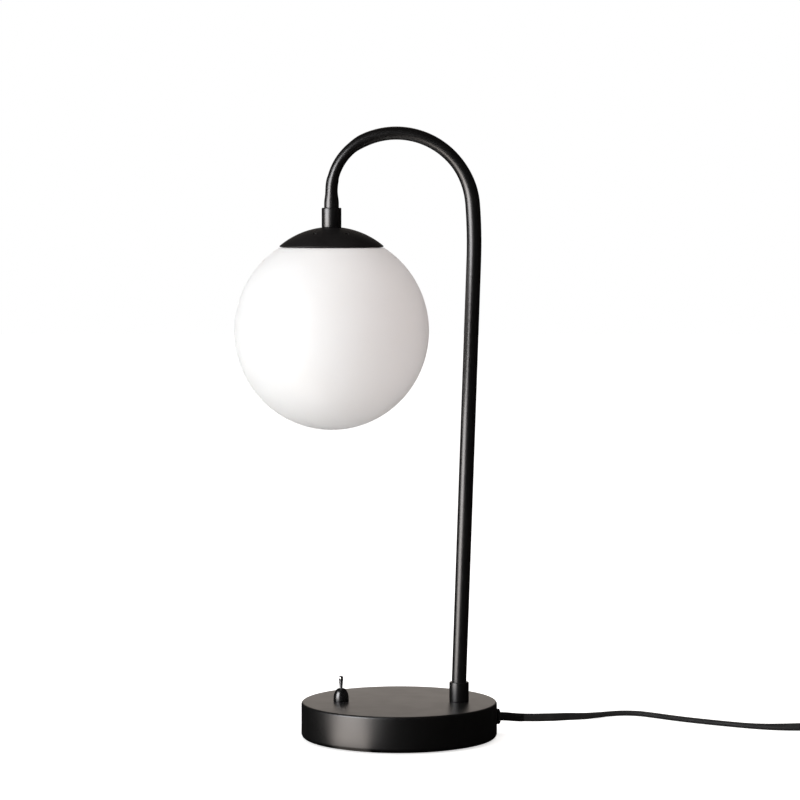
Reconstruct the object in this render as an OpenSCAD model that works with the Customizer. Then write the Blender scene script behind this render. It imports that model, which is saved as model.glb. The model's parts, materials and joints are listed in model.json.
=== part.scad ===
// Crook-neck table lamp with an opal globe, an iron-weighted round base and a toggle switch.
// Millimetres, +Z up. The origin is the centre of the base, on the table.
// The stem rises on the +X side and hooks over to the globe on the -X side; -Y is the front.

/* [Base] */
// Outside diameter of the base
base_d = 160; // [150:1:180]
// Height of the base's top face above the table
base_h = 30; // [27:0.5:34]
// Sheet thickness of the spun housing
base_wall = 1.5; // [1.2:0.1:2]
// Radius of the housing's upper edge
top_edge_r = 2; // [1.5:0.1:4]
// Radius of the edge that is rolled in under the base
foot_edge_r = 3.5; // [2.5:0.1:5]
// Width of the flat lip behind the rolled edge
lip_w = 2; // [1:0.1:4]
// Thickness of the foam pad under the base
pad_t = 1; // [0.8:0.1:2]
// Thickness of the iron weight
weight_t = 14; // [12:0.5:16]
// Diameter of the cover screws
screw_d = 4; // [3:0.5:5]

/* [Stem] */
// Distance of the stem from the middle of the base
foot_x = 49; // [44:0.25:54]
// Outside diameter of the tube
tube_d = 12; // [10:0.5:13]
// Wall of the tube
tube_wall = 1; // [0.8:0.1:1.5]
// Lean of the straight part away from the globe, degrees
lean = 1.93; // [0:0.01:4]
// Length of the straight part
straight_l = 339.25; // [280:0.25:400]
// Centre radius of the long gentle bend
shoulder_r = 410; // [300:5:450]
// Turn of the long gentle bend, degrees
shoulder_a = 6.4; // [5:0.1:10]
// Centre radius of the bend over the crown
crown_r = 62; // [56:0.5:70]
// Turn of the bend over the crown, degrees
crown_a = 110.5; // [95:0.5:115]
// Centre radius of the bend down to the globe
drop_r = 45.5; // [42:0.25:56]
// Straight tube between the last bend and the upper collar
drop_l = 13.2; // [6:0.1:20]
// Thickness of the tube in the plane of the crown's bend, as a share of its diameter
crown_flat = 0.89; // [0.85:0.01:1]
// The same in the tighter bend down to the globe
drop_flat = 0.77; // [0.75:0.01:1]

/* [Collars and nipples] */
// Outside diameter of the two collars
collar_d = 16; // [15:0.5:20]
// Height of a collar
collar_h = 16; // [14:0.5:20]
// Floor of a collar, under the tube's end
collar_floor = 2; // [1.5:0.1:3]
// Bore of the threaded nipples
nipple_bore = 7; // [5:0.5:7.5]
// Width of the hexagon nuts across their flats
nut_af = 14; // [13:0.5:16]

/* [Cap and globe] */
// Radius of the dome's outside
dome_r = 65.4; // [60:0.2:75]
// Outside diameter of the cap's rim
cap_d = 84.2; // [80:0.2:90]
// Height of the cap's upright lip
cap_lip = 1; // [0.6:0.1:3]
// Sheet thickness of the cap
cap_t = 1.2; // [0.8:0.1:1.5]
// Number of vent holes
vent_n = 6; // [3:1:9]
// Diameter of a vent hole
vent_d = 3; // [2:0.1:4]
// Radius of the ring of vent holes
vent_r = 26; // [20:0.5:30]
// Widest diameter of the globe
globe_d = 158; // [140:1:180]
// Half of the globe's height, from its widest place to the bottom
globe_hz = 80.3; // [72:0.1:90]
// Glass thickness
glass_t = 3; // [2:0.1:4]
// Height of the globe's neck inside the cap
neck_h = 3; // [2:0.1:5]

/* [Lamp holder and bulb] */
// Outside diameter of the holder's sleeve
holder_d = 27; // [25:0.5:30]
// Length of the sleeve
sleeve_l = 38; // [34:0.5:42]
// Diameter of the bulb
bulb_d = 45; // [35:1:50]
// Length of the bulb from its contact to its tip
bulb_l = 78; // [70:1:90]

/* [Switch] */
// Distance of the switch from the middle of the base
switch_x = 47.5; // [40:0.5:52]
// Widest diameter of the dome nut
dome_nut_d = 12.5; // [11.5:0.1:14]
// Height of the dome nut
dome_nut_h = 11.4; // [10.8:0.1:12]
// Reach of the lever above the dome nut
lever_l = 10.4; // [8:0.1:16]
// Diameter of the lever's round end
lever_d = 3.7; // [3:0.1:4.5]
// Swing of the lever from one side to the other, degrees
lever_throw = 25; // [16:1:26]

/* [Cord] */
// Width of the flat cord
cord_w = 6.6; // [5.5:0.1:7]
// Thickness of the flat cord
cord_t = 4.15; // [3.5:0.05:4.5]
// Direction in which the cord leaves the base, degrees from +X
cord_az = 10; // [0:1:20]
// Height of the cord's outlet above the table
cord_z = 15; // [12:0.5:18]
// Sag of the strain-relief sleeve between its two ends
sleeve_drop = 1.5; // [0:0.1:3]
// Middle radius of the coil
coil_r = 37.25; // [34:0.25:40]
// Turns in one layer of the coil
coil_turns = 3; // [2:1:4]
// Free space between the turns
coil_gap = 0.6; // [0.5:0.05:1]

/* [Hidden] */
// Clearances
fit = 0.05;
play = 0.3;
weld = 0.01;

// Base
base_r = base_d / 2;
lip_top = pad_t + base_wall;
lip_r = base_r - foot_edge_r - lip_w;
roof_z = base_h - base_wall;
weight_r = base_r - base_wall - play;
weight_top = lip_top + weight_t;
boss_r = 14;
pocket_x0 = -62;
pocket_x1 = 26;
pocket_w = 40;
pocket_corner = 6;
cord_slot_y = [6.5, 20.5];
cord_slot_rise = 3;
nut_pocket_r = 11;
nut_seat_z = weight_top - 0.5;
screw_ring_r = 62;
screw_angles = [90, 210, 330];
screw_l = 9;
pad_r = lip_r - 2;

// Nipples, nuts and washers
nipple_r = tube_d / 2 - tube_wall - fit;
nipple_hole = nipple_r + 0.15;
washer_t = 1;
washer_r = 10;
nut_t = 4;
thin_nut_t = 3;

// Path of the tube from the floor of the lower collar to the floor of the upper one:
// [length] is a straight, [radius, turn] a bend, and a positive turn is towards -X
heel_r = 150;
short_straight = 40;
tube_foot_z = base_h + collar_floor;
in_collar = collar_h - collar_floor;
settle_a = 16;
drop_a = 180 + lean - shoulder_a - crown_a - settle_a;
tube_path = [
    [in_collar], [heel_r, -lean], [straight_l], [shoulder_r, shoulder_a],
    [crown_r, crown_a], [drop_r, drop_a], [drop_r, settle_a], [drop_l + in_collar]
];
settle_flat = drop_flat + 0.3 * (1 - drop_flat);
tube_flat = [1, 1, 1, 1, crown_flat, drop_flat, settle_flat, 1];
flat_run = 0.35;
flat_spread = 0.35;

function turned(p, s) =
    let (a = p[2] - s[1], side = s[1] < 0 ? -1 : 1)
    [p[0] - side * s[0] * (cos(p[2]) - cos(a)), p[1] + side * s[0] * (sin(p[2]) - sin(a)), a];
function stepped(p, s) =
    len(s) == 1 ? [p[0] + s[0] * sin(p[2]), p[1] + s[0] * cos(p[2]), p[2]] : turned(p, s);
function poses(start, path) =
    [for (i = 0, p = start; i <= len(path); p = i < len(path) ? stepped(p, path[i]) : p, i = i + 1) p];

tube_start = [foot_x, tube_foot_z, 0];
tube_end = poses(tube_start, tube_path)[len(tube_path)];

// Places along a path, close enough together to draw its bends round
bend_step = 6.5;
function bend_parts(s) =
    len(s) == 1 ? (s[0] < short_straight ? 5 : 1) : ceil(abs(s[1]) / (s[0] > 200 ? bend_step / 2.5 : bend_step));
function stations(start, path) =
    let (p = poses(start, path))
    concat([start], [for (i = [0:len(path) - 1], k = [1:bend_parts(path[i])])
        let (part = k / bend_parts(path[i]))
        stepped(p[i], len(path[i]) == 1 ? [path[i][0] * part] : [path[i][0], path[i][1] * part])]);
// The tube's thickness at the same places: each stretch eases into its own over its first part
function ease(s) = let (e = min(s, 1)) e * e * (3 - 2 * e);
function flatness(path, flats) =
    concat([flats[0]], [for (i = [0:len(path) - 1], k = [1:bend_parts(path[i])])
        let (before = flats[max(i - 1, 0)])
        before + (flats[i] - before) * ease(k / bend_parts(path[i]) / flat_run)]);

// Head: the cap's flat land carries the upper collar, and all below hangs from it
head_x = tube_end[0];
land_z = tube_end[1] - collar_floor;
land_r = collar_d / 2 + 0.5;
cap_r = cap_d / 2;
dome_z = land_z - sqrt(pow(dome_r, 2) - pow(land_r, 2));
lip_z = dome_z + sqrt(pow(dome_r, 2) - pow(cap_r, 2));
rim_z = lip_z - cap_lip;
under_z = land_z - cap_t;
spring_t = 0.8;
spring_n = 3;
spring_w = 10;
spring_plate_r = 10;
spring_foot_in = 1.6;
spring_foot_out = 3.2;
spring_foot_z = [0.5, 3.4, 8.5];
star_t = 0.8;
star_r = sqrt(pow(dome_r - cap_t, 2) - pow(under_z - dome_z, 2)) - 1;
upper_nut_z = under_z - spring_t - star_t - thin_nut_t;

// Globe: its neck stands inside the cap's lip, and the body is an ellipse from there down
globe_r = globe_d / 2;
rim_gap = 0.6;
shoulder_z = rim_z - rim_gap;
neck_top = shoulder_z + neck_h;
neck_r = min(cap_r - cap_t, sqrt(pow(dome_r - cap_t, 2) - pow(neck_top - dome_z, 2))) - 0.5;
shoulder_glass_r = cap_r + 0.6;
globe_z = shoulder_z - globe_hz * sqrt(1 - pow(shoulder_glass_r / globe_r, 2));
glass_in_r = globe_r - glass_t;
glass_in_hz = globe_hz - glass_t;
neck_in_r = neck_r - glass_t;
neck_in_z = globe_z + glass_in_hz * sqrt(1 - pow(neck_in_r / glass_in_r, 2));
globe_steps = 24;

// Lamp holder, from its threaded entry down
holder_top = upper_nut_z;
holder_r = holder_d / 2;
entry_h = 8;
entry_r = 7.5;
holder_wall = 1.5;
sleeve_r = holder_r - holder_wall - fit;
shoulder_h = 6;
skirt_h = 8;
sleeve_top = holder_top - entry_h - shoulder_h;
sleeve_bottom = sleeve_top - sleeve_l;
core_h = 9;
core_z = sleeve_top - core_h;
contact_t = 0.5;
contact_drop = 2;
shell_r = 7.3;
shell_t = 0.35;
shell_h = 17;
shell_hold = 3;

// Bulb, hanging with its contact up
bulb_top = core_z - contact_drop;
bulb_tip = bulb_top - bulb_l;
bulb_r = bulb_d / 2;
bulb_z = bulb_tip + bulb_r;
bulb_t = 0.8;
tip_h = 1.5;
tip_r = 2.4;
insulator_h = 2.5;
base_shell_r = 6.9;
base_shell_h = 14;
bulb_base_z = bulb_top - tip_h - insulator_h - base_shell_h;
bulb_neck_r = sleeve_r - holder_wall - 1.4;
bulb_waist_z = bulb_base_z - 4;

// Switch: a pivot ball held by a pin near the top of the threaded bushing
switch_body = [8, 13, 9.5];
bushing_r = 3;
ball_r = 2.3;
pivot_below = 5;
pivot_z = base_h + dome_nut_h - pivot_below;
bushing_top = pivot_z + 1.4;
thin_hex_t = 2.2;
thin_hex_af = 8;
switch_top = roof_z - thin_hex_t - 1;
pin_r = 0.5;
lever_neck_r = 1.2;
stub_r = 0.8;
stub_l = 6;
mouth_r = 2.75;
lug = [2, 0.8, 4.5];
lug_y = 4.4;

// Wires of the base
wire_r = 0.9;
wire_y = 1.05;
wire_z = 5.5;
wire_bend = 4;
block = [16, 17, 12];
block_x = -6;
block_face = block_x + block[0] / 2;

// Cord outlet
flange_r = 6.45;
flange_t = 2.8;
flange_gap = 1;
flange_edge = 0.8;
grommet_r = 4.5;
sleeve_grip = 20;
jacket_end_r = 64;
sleeve_start = base_r + fit + flange_gap + flange_t;
run_start = sleeve_start + sleeve_grip;
outlet_dir = [cos(cord_az), sin(cord_az), 0];
function sleeve_spot(s) = outlet_dir * (sleeve_start + sleeve_grip * s) + [0, 0, cord_z - sleeve_drop * ease(s)];

// Route of the free cord on the table, each point as [x, y, height of its centre, twist]:
// twist 0 lies flat and 90 stands on edge
cord_route = [
    concat(sleeve_spot(1), 90),
    [107, 18.8, 13.3, 90], [113, 20.6, 13, 90], [119, 23.7, 12.6, 87], [124.5, 28, 12, 82],
    [129, 33.4, 11.2, 75], [136.4, 44.3, 9.7, 62], [143.7, 55.7, 8, 50], [151.1, 67.3, 6.2, 38],
    [158.4, 78.6, 4.6, 26], [165, 88.4, 3.5, 15], [171.1, 96.4, 2.7, 6], [175.5, 100.9, 2.4, 0],
    [180.8, 104.5, 2.2, 0], [186.8, 106.8, 2.2, 0], [193.6, 107.6, 2.2, 0], [199.9, 106.7, 2.2, 0],
    [205.4, 104.6, 2.2, 0], [210.5, 101.2, 2.2, 0], [219.6, 93.4, 2.2, 0], [229.5, 84.6, 2.2, 0],
    [240.4, 75.7, 2.2, 0], [252.4, 67.1, 2.2, 0], [265.4, 58.6, 2.2, 0], [278.3, 50.6, 2.2, 0],
    [291, 43.7, 2.2, 4], [304, 38, 2.4, 16], [317, 33.5, 2.9, 34], [330, 30.4, 3.5, 54],
    [343, 28.6, 4, 72], [356, 28, 4.3, 86], [368.5, 28, 4.4, 90], [381, 28, 4.4, 90]
];
route_split = 2;
cord_sides = 12;
coil_start = cord_route[len(cord_route) - 1];

// Coil: in towards the middle on the table, up in half a turn, and out again on top
coil_pitch = cord_t + coil_gap;
layer_pitch = cord_w + coil_gap;
coil_out = coil_r + coil_pitch * coil_turns / 2;
coil_x = coil_start[0] + cord_w;
coil_y = coil_start[1] - coil_out;
coil_z = coil_start[2];
loop_rings = 24;
coil_sides = 6;
climb = 0.5;

// Tie round the coil
tie_w = 8;
tie_t = 0.8;
tie_az = -60;

// Plug, flat on the table past the coil
plug_w = 35.3;
plug_t = 13.7;
plug_l = 32;
plug_rear_w = 15;
plug_relief_l = 16;
plug_pin_r = 2;
plug_pin_l = 19;
plug_pin_gap = 18.6;
plug_collar_l = 9;
plug_x = 432;
plug_y = coil_start[1];
plug_z = plug_t / 2;

$fn = 96;

// Shared shapes

// Rectangle from the axis with round outer corners, for revolving
module rounded_disc(r, z0, z1, r_low, r_high) {
    translate([0, z0]) square([r - r_low, z1 - z0]);
    translate([0, z0 + r_low]) square([r, z1 - z0 - r_low - r_high]);
    translate([0, z0 + r_low]) square([r - r_high, z1 - z0 - r_low]);
    translate([r - r_low, z0 + r_low]) circle(r_low);
    translate([r - r_high, z1 - r_high]) circle(r_high);
}

// Revolved ring between two radii and two heights
module ring(r_in, r_out, z0, z1) {
    rotate_extrude() translate([r_in, z0]) square([r_out - r_in, z1 - z0]);
}

// Flat oval of a twin cord, w along X
module oval(w, t) {
    square([w - t, t], center = true);
    for (side = [-1, 1]) translate([side * (w - t) / 2, 0]) circle(t / 2);
}

// Oval square to a path in the XZ plane, at one of its stations: r_in_plane by r_across
function hoop(p, r_in_plane, r_across, y, sides) =
    [for (k = [0:sides - 1]) let (a = 360 * k / sides, d = r_in_plane * cos(a))
        [p[0] + d * cos(p[2]), y + r_across * sin(a), p[1] - d * sin(p[2])]];
// Tube along such a path, open at both ends and flattened in the bends
module pipe(start, path, flats, r, wall, sides) {
    s = stations(start, path);
    f = flatness(path, flats);
    n = sides;
    m = len(s) * n;
    walls = [for (i = [0:len(s) - 2], k = [0:n - 1], half = [0, 1])
        let (a = i * n + k, b = i * n + (k + 1) % n)
        half == 0 ? [a, b + n, b] : [a, a + n, b + n]];
    bore = [for (f = walls) [m + f[2], m + f[1], m + f[0]]];
    ends = [for (e = [0, 1], k = [0:n - 1], half = [0, 1])
        let (a = e * (m - n) + k, b = e * (m - n) + (k + 1) % n, f = half == 0 ? [a, b, m + b] : [a, m + b, m + a])
        e == 0 ? f : reversed(f)];
    skin = [for (in = [0, wall], i = [0:len(s) - 1])
        each hoop(s[i], r * f[i] - in, r * (1 + flat_spread * (1 - f[i])) - in, 0, n)];
    polyhedron(points = skin, faces = concat(walls, bore, ends), convexity = 10);
}

// Corners of a strip of thickness t along a polyline
function unit(v) = v / norm(v);
function strip_side(p, t) =
    [for (i = [0:len(p) - 1])
        let (
            a = unit(p[min(i + 1, len(p) - 1)] - p[min(i, len(p) - 2)]),
            b = unit(p[max(i, 1)] - p[max(i - 1, 0)]),
            m = unit(a + b)
        )
        p[i] + [-m[1], m[0]] * t / (m * a)];
function reversed(v) = [for (i = [len(v) - 1:-1:0]) v[i]];
function strip(p, t) = concat(strip_side(p, t / 2), reversed(strip_side(p, -t / 2)));

// Tubes swept along points in space. side() is level and across the run.
function run_dir(p, i) = unit(p[min(i + 1, len(p) - 1)] - p[max(i - 1, 0)]);
function side(d) = unit(cross([0, 0, 1], d));
function spot(p) = [p[0], p[1], p[2]];
// One ring: an oval w by t, turned by twist from lying flat
function ring_points(centre, d, twist, w, t, sides) =
    let (s = side(d), u = cross(d, s), across = cos(twist) * s + sin(twist) * u, thin = cross(d, across))
    [for (k = [0:sides - 1])
        let (a = 360 * (k + (sides == 6 ? 0 : 0.5)) / sides, bulge = 1 / cos(sides == 6 ? 30 : 180 / sides))
        centre + across * ((w - t) / 2 * sign(cos(a)) + t / 2 * cos(a))
            + thin * t / 2 * sin(a) * (sides == 6 ? bulge : 1)];
module tube_of_rings(rings) {
    n = len(rings[0]);
    last = len(rings) - 1;
    walls = [for (i = [0:last - 1], k = [0:n - 1], half = [0, 1])
        let (a = i * n + k, b = i * n + (k + 1) % n)
        half == 0 ? [a, b + n, b] : [a, a + n, b + n]];
    ends = [for (k = [1:n - 2], end = [0, 1])
        end == 0 ? [0, k, k + 1] : [last * n, last * n + k + 1, last * n + k]];
    polyhedron(points = [for (r = rings) for (p = r) p], faces = concat(walls, ends), convexity = 10);
}
// Smooth curve through points: s in 0..1 between b and c, of any number of values each
function blend_point(a, b, c, d, s) =
    0.5 * (2 * b + (c - a) * s + (2 * a - 5 * b + 4 * c - d) * s * s + (3 * b - a - 3 * c + d) * s * s * s);
function smooth(p, n) =
    let (last = len(p) - 1)
    [for (i = [0:last - 1], k = [0:n - 1])
        blend_point(p[max(i - 1, 0)], p[i], p[i + 1], p[min(i + 2, last)], k / n),
        p[last]];

// Hexagon nut with a plain bore
module hex_nut(af, r_bore, h) {
    difference() {
        cylinder(r = af / 2 / cos(30), h = h, $fn = 6);
        translate([0, 0, -1]) cylinder(r = r_bore, h = h + 2);
    }
}

module at_head() translate([head_x, 0, 0]) children();
module at_foot() translate([foot_x, 0, 0]) children();
module at_switch() translate([-switch_x, 0, 0]) children();
module at_outlet(r) rotate([0, 0, cord_az]) translate([r, 0, cord_z]) rotate([0, 90, 0]) children();

// Base

module base_housing() color([0.07, 0.066, 0.065]) {
    inner_top_r = max(top_edge_r - base_wall, 0.3);
    inner_foot_r = max(foot_edge_r - base_wall, 0.3);
    difference() {
        rotate_extrude() difference() {
            rounded_disc(base_r, pad_t, base_h, foot_edge_r, top_edge_r);
            rounded_disc(base_r - base_wall, lip_top, roof_z, inner_foot_r, inner_top_r);
            translate([0, pad_t - 1]) square([lip_r, base_wall + 2]);
        }
        at_foot() translate([0, 0, roof_z - 1]) cylinder(r = nipple_hole, h = base_wall + 2);
        at_switch() translate([0, 0, roof_z - 1]) cylinder(r = bushing_r + 0.1, h = base_wall + 2);
        at_outlet(base_r - 8) cylinder(r = grommet_r + 0.1, h = 12);
    }
}

module base_weight() color([0.2, 0.2, 0.21]) {
    edge = 2.2;
    difference() {
        union() {
            rotate_extrude() polygon([
                [0, lip_top], [weight_r - edge, lip_top], [weight_r, lip_top + edge],
                [weight_r, weight_top], [0, weight_top]
            ]);
            at_foot() cylinder(r = boss_r, h = roof_z);
        }
        translate([0, 0, lip_top - 1]) linear_extrude(weight_t + 2) wiring_pocket();
        translate([pocket_x1 - 1, cord_slot_y[0], lip_top - 1])
            cube([base_r, cord_slot_y[1] - cord_slot_y[0], weight_t + 1 + cord_slot_rise]);
        at_foot() translate([0, 0, lip_top - 20]) cylinder(r = boss_r + 1, h = 20);
        at_foot() translate([0, 0, lip_top - 1]) cylinder(r = nut_pocket_r, h = nut_seat_z - lip_top + 1);
        at_foot() cylinder(r = nipple_hole, h = base_h);
        translate([pocket_x1 - 1, -wire_bend, lip_top - 1]) cube([foot_x - pocket_x1, 2 * wire_bend, 10]);
        for (a = screw_angles) rotate(a) translate([screw_ring_r, 0, lip_top - 1])
            cylinder(r = screw_d / 2 + fit, h = screw_l + 2);
    }
}

// Opening in the middle of the weight, for the switch, the terminals and the wires
module wiring_pocket() {
    c = pocket_corner;
    x0 = pocket_x0;
    x1 = pocket_x1;
    translate([x0 + c, -pocket_w / 2]) square([x1 - x0 - 2 * c, pocket_w]);
    translate([x0, -pocket_w / 2 + c]) square([x1 - x0, pocket_w - 2 * c]);
    for (x = [x0 + c, x1 - c], y = [-1, 1]) translate([x, y * (pocket_w / 2 - c)]) circle(c);
}

module base_plate() color([0.5, 0.5, 0.52]) difference() {
    translate([0, 0, pad_t]) cylinder(r = lip_r - play, h = base_wall);
    for (a = screw_angles) rotate(a) translate([screw_ring_r, 0, pad_t]) {
        translate([0, 0, -weld]) cylinder(r1 = screw_d + 0.1, r2 = screw_d / 2 + 0.1, h = base_wall + 2 * weld);
    }
}

module foot_pad() color([0.1, 0.1, 0.1]) cylinder(r = pad_r, h = pad_t);

module base_screws() color([0.6, 0.6, 0.62])
    for (a = screw_angles) rotate(a) translate([screw_ring_r, 0, pad_t]) difference() {
        union() {
            cylinder(r1 = screw_d, r2 = screw_d / 2, h = base_wall);
            cylinder(r = screw_d / 2, h = base_wall + screw_l);
        }
        translate([0, 0, -1]) cylinder(r = screw_d * 0.36, h = 1 + screw_d * 0.4, $fn = 6);
    }

// Stem

module collar() rotate_extrude() polygon([
    [nipple_hole, 0], [collar_d / 2 - 0.3, 0], [collar_d / 2, 0.3], [collar_d / 2, collar_h - 1],
    [collar_d / 2 - 0.8, collar_h], [tube_d / 2 + fit, collar_h], [tube_d / 2 + fit, collar_floor],
    [nipple_hole, collar_floor]
]);

module lower_collar() color([0.06, 0.057, 0.056]) at_foot() translate([0, 0, base_h]) collar();

module lower_nipple() color([0.75, 0.66, 0.4]) at_foot()
    ring(nipple_bore / 2, nipple_r, nut_seat_z - washer_t - nut_t - 1.5, base_h + collar_h - 1.5);

module lower_washer() color([0.7, 0.7, 0.72]) at_foot()
    ring(nipple_hole, washer_r, nut_seat_z - washer_t, nut_seat_z);

module lower_nut() color([0.7, 0.62, 0.36]) at_foot()
    translate([0, 0, nut_seat_z - washer_t - nut_t]) hex_nut(nut_af, nipple_r + fit, nut_t);

module stem_tube() color([0.06, 0.057, 0.056])
    pipe(tube_start, tube_path, tube_flat, tube_d / 2, tube_wall, 32);

// Two insulated wires from the terminal block through the nipples and the tube to the holder
lead_path = concat(
    [[foot_x - wire_bend - block_face - play], [wire_bend, 90], [tube_foot_z - wire_z - wire_bend]],
    tube_path,
    [[tube_end[1] - sleeve_top - play]]
);
module stem_leads() for (s = [-1, 1])
    color(s < 0 ? [0.15, 0.3, 0.6] : [0.4, 0.24, 0.14])
        tube_of_rings([for (p = stations([block_face + play, wire_z, 90], lead_path))
            hoop(p, wire_r, wire_r, s * wire_y, 8)]);

// Head

module upper_collar() color([0.06, 0.057, 0.056]) at_head() translate([0, 0, land_z]) collar();

module upper_nipple() color([0.75, 0.66, 0.4]) at_head()
    ring(nipple_bore / 2, nipple_r, holder_top - entry_h + 2, land_z + collar_h - 2);

module upper_nut() color([0.7, 0.62, 0.36]) at_head()
    translate([0, 0, upper_nut_z]) hex_nut(nut_af, nipple_r + fit, thin_nut_t);

module star_washer() color([0.7, 0.7, 0.72]) at_head()
    translate([0, 0, under_z - star_t]) linear_extrude(star_t) difference() {
        union() {
            circle(star_r);
            for (i = [0:11]) rotate(i * 30) translate([star_r - 0.5, -0.8]) square([1.5, 1.6]);
        }
        circle(nipple_hole);
    }

// Spun dome with a flat land on top, an upright lip and a ring of vent holes
module globe_cap() color([0.09, 0.085, 0.08]) at_head() difference() {
    rotate_extrude() difference() {
        dome_section(dome_r, cap_r, land_z, 0);
        dome_section(dome_r - cap_t, cap_r - cap_t, under_z, 1);
        translate([-1, rim_z - 2]) square([1 + nipple_hole, land_z - rim_z + 4]);
    }
    for (i = [0:vent_n - 1]) rotate(i * 360 / vent_n) translate([vent_r, 0, lip_z])
        cylinder(r = vent_d / 2, h = land_z - lip_z + 1, $fn = 32);
}

module dome_section(r, r_rim, z_top, below) {
    intersection() {
        translate([0, dome_z]) circle(r, $fn = 180);
        translate([0, lip_z - below]) square([r_rim, z_top - lip_z + below]);
    }
    translate([0, rim_z - below]) square([r_rim, cap_lip + weld + below]);
}

// Plate with three sprung legs that spread under the neck of the globe
module globe_springs() color([0.72, 0.72, 0.74]) at_head() {
    z = under_z - star_t - spring_t / 2;
    reach = neck_in_r - spring_t / 2 - 0.5;
    foot_z = [for (drop = spring_foot_z) neck_in_z - drop];
    leg = [
        [spring_plate_r - 3, z], [spring_plate_r, z], [reach - 1.8, rim_z + 4], [reach, rim_z + 1.2],
        [reach, foot_z[0]], [reach + spring_foot_out, foot_z[1]], [reach - spring_foot_in, foot_z[2]]
    ];
    ring(nipple_hole, spring_plate_r, z - spring_t / 2, z + spring_t / 2);
    for (i = [0:spring_n - 1]) rotate([0, 0, 30 + i * 360 / spring_n])
        translate([0, spring_w / 2, 0]) rotate([90, 0, 0])
            linear_extrude(spring_w) polygon(strip(leg, spring_t));
}

// Blown opal globe: an ellipse inside and outside, with a short upright neck
function ellipse(rx, rz, z, r_from) =
    let (a0 = acos(r_from / rx))
    [for (i = [0:globe_steps]) let (a = a0 - (a0 + 90) * i / globe_steps) [rx * cos(a), z + rz * sin(a)]];
module globe() color([0.96, 0.95, 0.94]) at_head() rotate_extrude($fn = 144) polygon(concat(
    [[neck_in_r, neck_top], [neck_r, neck_top], [neck_r, shoulder_z + 0.6],
     [(neck_r + shoulder_glass_r) / 2, shoulder_z + 0.25]],
    ellipse(globe_r, globe_hz, globe_z, shoulder_glass_r),
    reversed(ellipse(glass_in_r, glass_in_hz, globe_z, neck_in_r))
));

// Lamp holder

module holder_cap() color([0.12, 0.12, 0.12]) at_head() rotate_extrude() polygon([
    [nipple_r + fit, holder_top], [entry_r, holder_top], [entry_r, holder_top - entry_h],
    [holder_r - 2, sleeve_top + 2], [holder_r, sleeve_top - 1], [holder_r, sleeve_top - skirt_h],
    [holder_r - holder_wall, sleeve_top - skirt_h], [holder_r - holder_wall, sleeve_top],
    [entry_r - 1, holder_top - entry_h], [nipple_r + fit, holder_top - entry_h + 1]
]);

module holder_sleeve() color([0.14, 0.14, 0.14]) at_head() {
    r = sleeve_r;
    bead = 1.5;
    rotate_extrude() polygon([
        [r - holder_wall, sleeve_top], [r, sleeve_top], [r, sleeve_bottom + 2 * bead],
        [r + bead, sleeve_bottom + bead], [r + bead, sleeve_bottom], [r - holder_wall, sleeve_bottom]
    ]);
}

module holder_core() color([0.9, 0.88, 0.84]) at_head() {
    r = sleeve_r - holder_wall - fit;
    difference() {
        union() {
            translate([0, 0, core_z]) cylinder(r = r, h = core_h);
            ring(shell_r + shell_t + fit, shell_r + shell_t + 1.6, core_z - shell_hold, core_z);
        }
        for (s = [-1, 1]) translate([0, s * 6, core_z + core_h - 4]) cylinder(r = 2.2, h = 5);
    }
}

module holder_shell() color([0.8, 0.68, 0.36]) at_head() difference() {
    translate([0, 0, core_z - shell_h]) cylinder(r = shell_r + shell_t, h = shell_h);
    translate([0, 0, core_z - shell_h - 1]) cylinder(r = shell_r, h = shell_h + 1 - shell_t);
    translate([0, 0, core_z - 2]) cylinder(r = 4.5, h = 3);
}

module centre_contact() color([0.82, 0.7, 0.38]) at_head()
    translate([0, 1.5, 0]) rotate([90, 0, 0]) linear_extrude(3) polygon(strip([
        [-3.4, core_z - contact_t / 2], [1.2, core_z - contact_t / 2], [2.2, core_z - 0.9],
        [1.4, core_z - contact_drop + 0.25], [-1.6, core_z - contact_drop + 0.25]
    ], contact_t));

// Bulb

module bulb_glass() color([0.97, 0.96, 0.93]) at_head() {
    steps = 24;
    a_top = 60;
    rotate_extrude() difference() {
        polygon(bulb_outline(0, steps, a_top));
        polygon(bulb_outline(bulb_t, steps, a_top));
    }
}
function bulb_outline(t, steps, a_top) =
    let (r = bulb_r - t)
    concat(
        [for (i = [0:steps]) let (a = -90 + (a_top + 90) * i / steps) [r * cos(a), bulb_z + r * sin(a)]],
        [[bulb_neck_r - t + 0.5, bulb_waist_z - 6], [bulb_neck_r - t, bulb_waist_z - 1],
         [base_shell_r - 0.4 - t, bulb_waist_z + 4.2], [base_shell_r - 0.4 - t, bulb_base_z + 3 + t],
         [0, bulb_base_z + 3 + t]]
    );

module bulb_base() color([0.8, 0.79, 0.76]) at_head() difference() {
    union() {
        translate([0, 0, bulb_base_z]) cylinder(r = base_shell_r, h = base_shell_h);
        translate([0, 0, bulb_base_z + base_shell_h])
            cylinder(r1 = base_shell_r, r2 = tip_r + 1, h = insulator_h);
    }
    translate([0, 0, bulb_base_z - 1]) cylinder(r = base_shell_r - 0.35, h = base_shell_h);
}

module bulb_contact() color([0.7, 0.7, 0.7]) at_head()
    translate([0, 0, bulb_top - tip_h]) cylinder(r1 = tip_r, r2 = tip_r * 0.7, h = tip_h - 0.1);

// Switch

module switch_body() color([0.5, 0.12, 0.1]) at_switch() difference() {
    translate([-switch_body[0] / 2, -switch_body[1] / 2, switch_top - switch_body[2]]) cube(switch_body);
    translate([0, 0, switch_top - 4]) cylinder(r = 3.2, h = 5);
}

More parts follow.
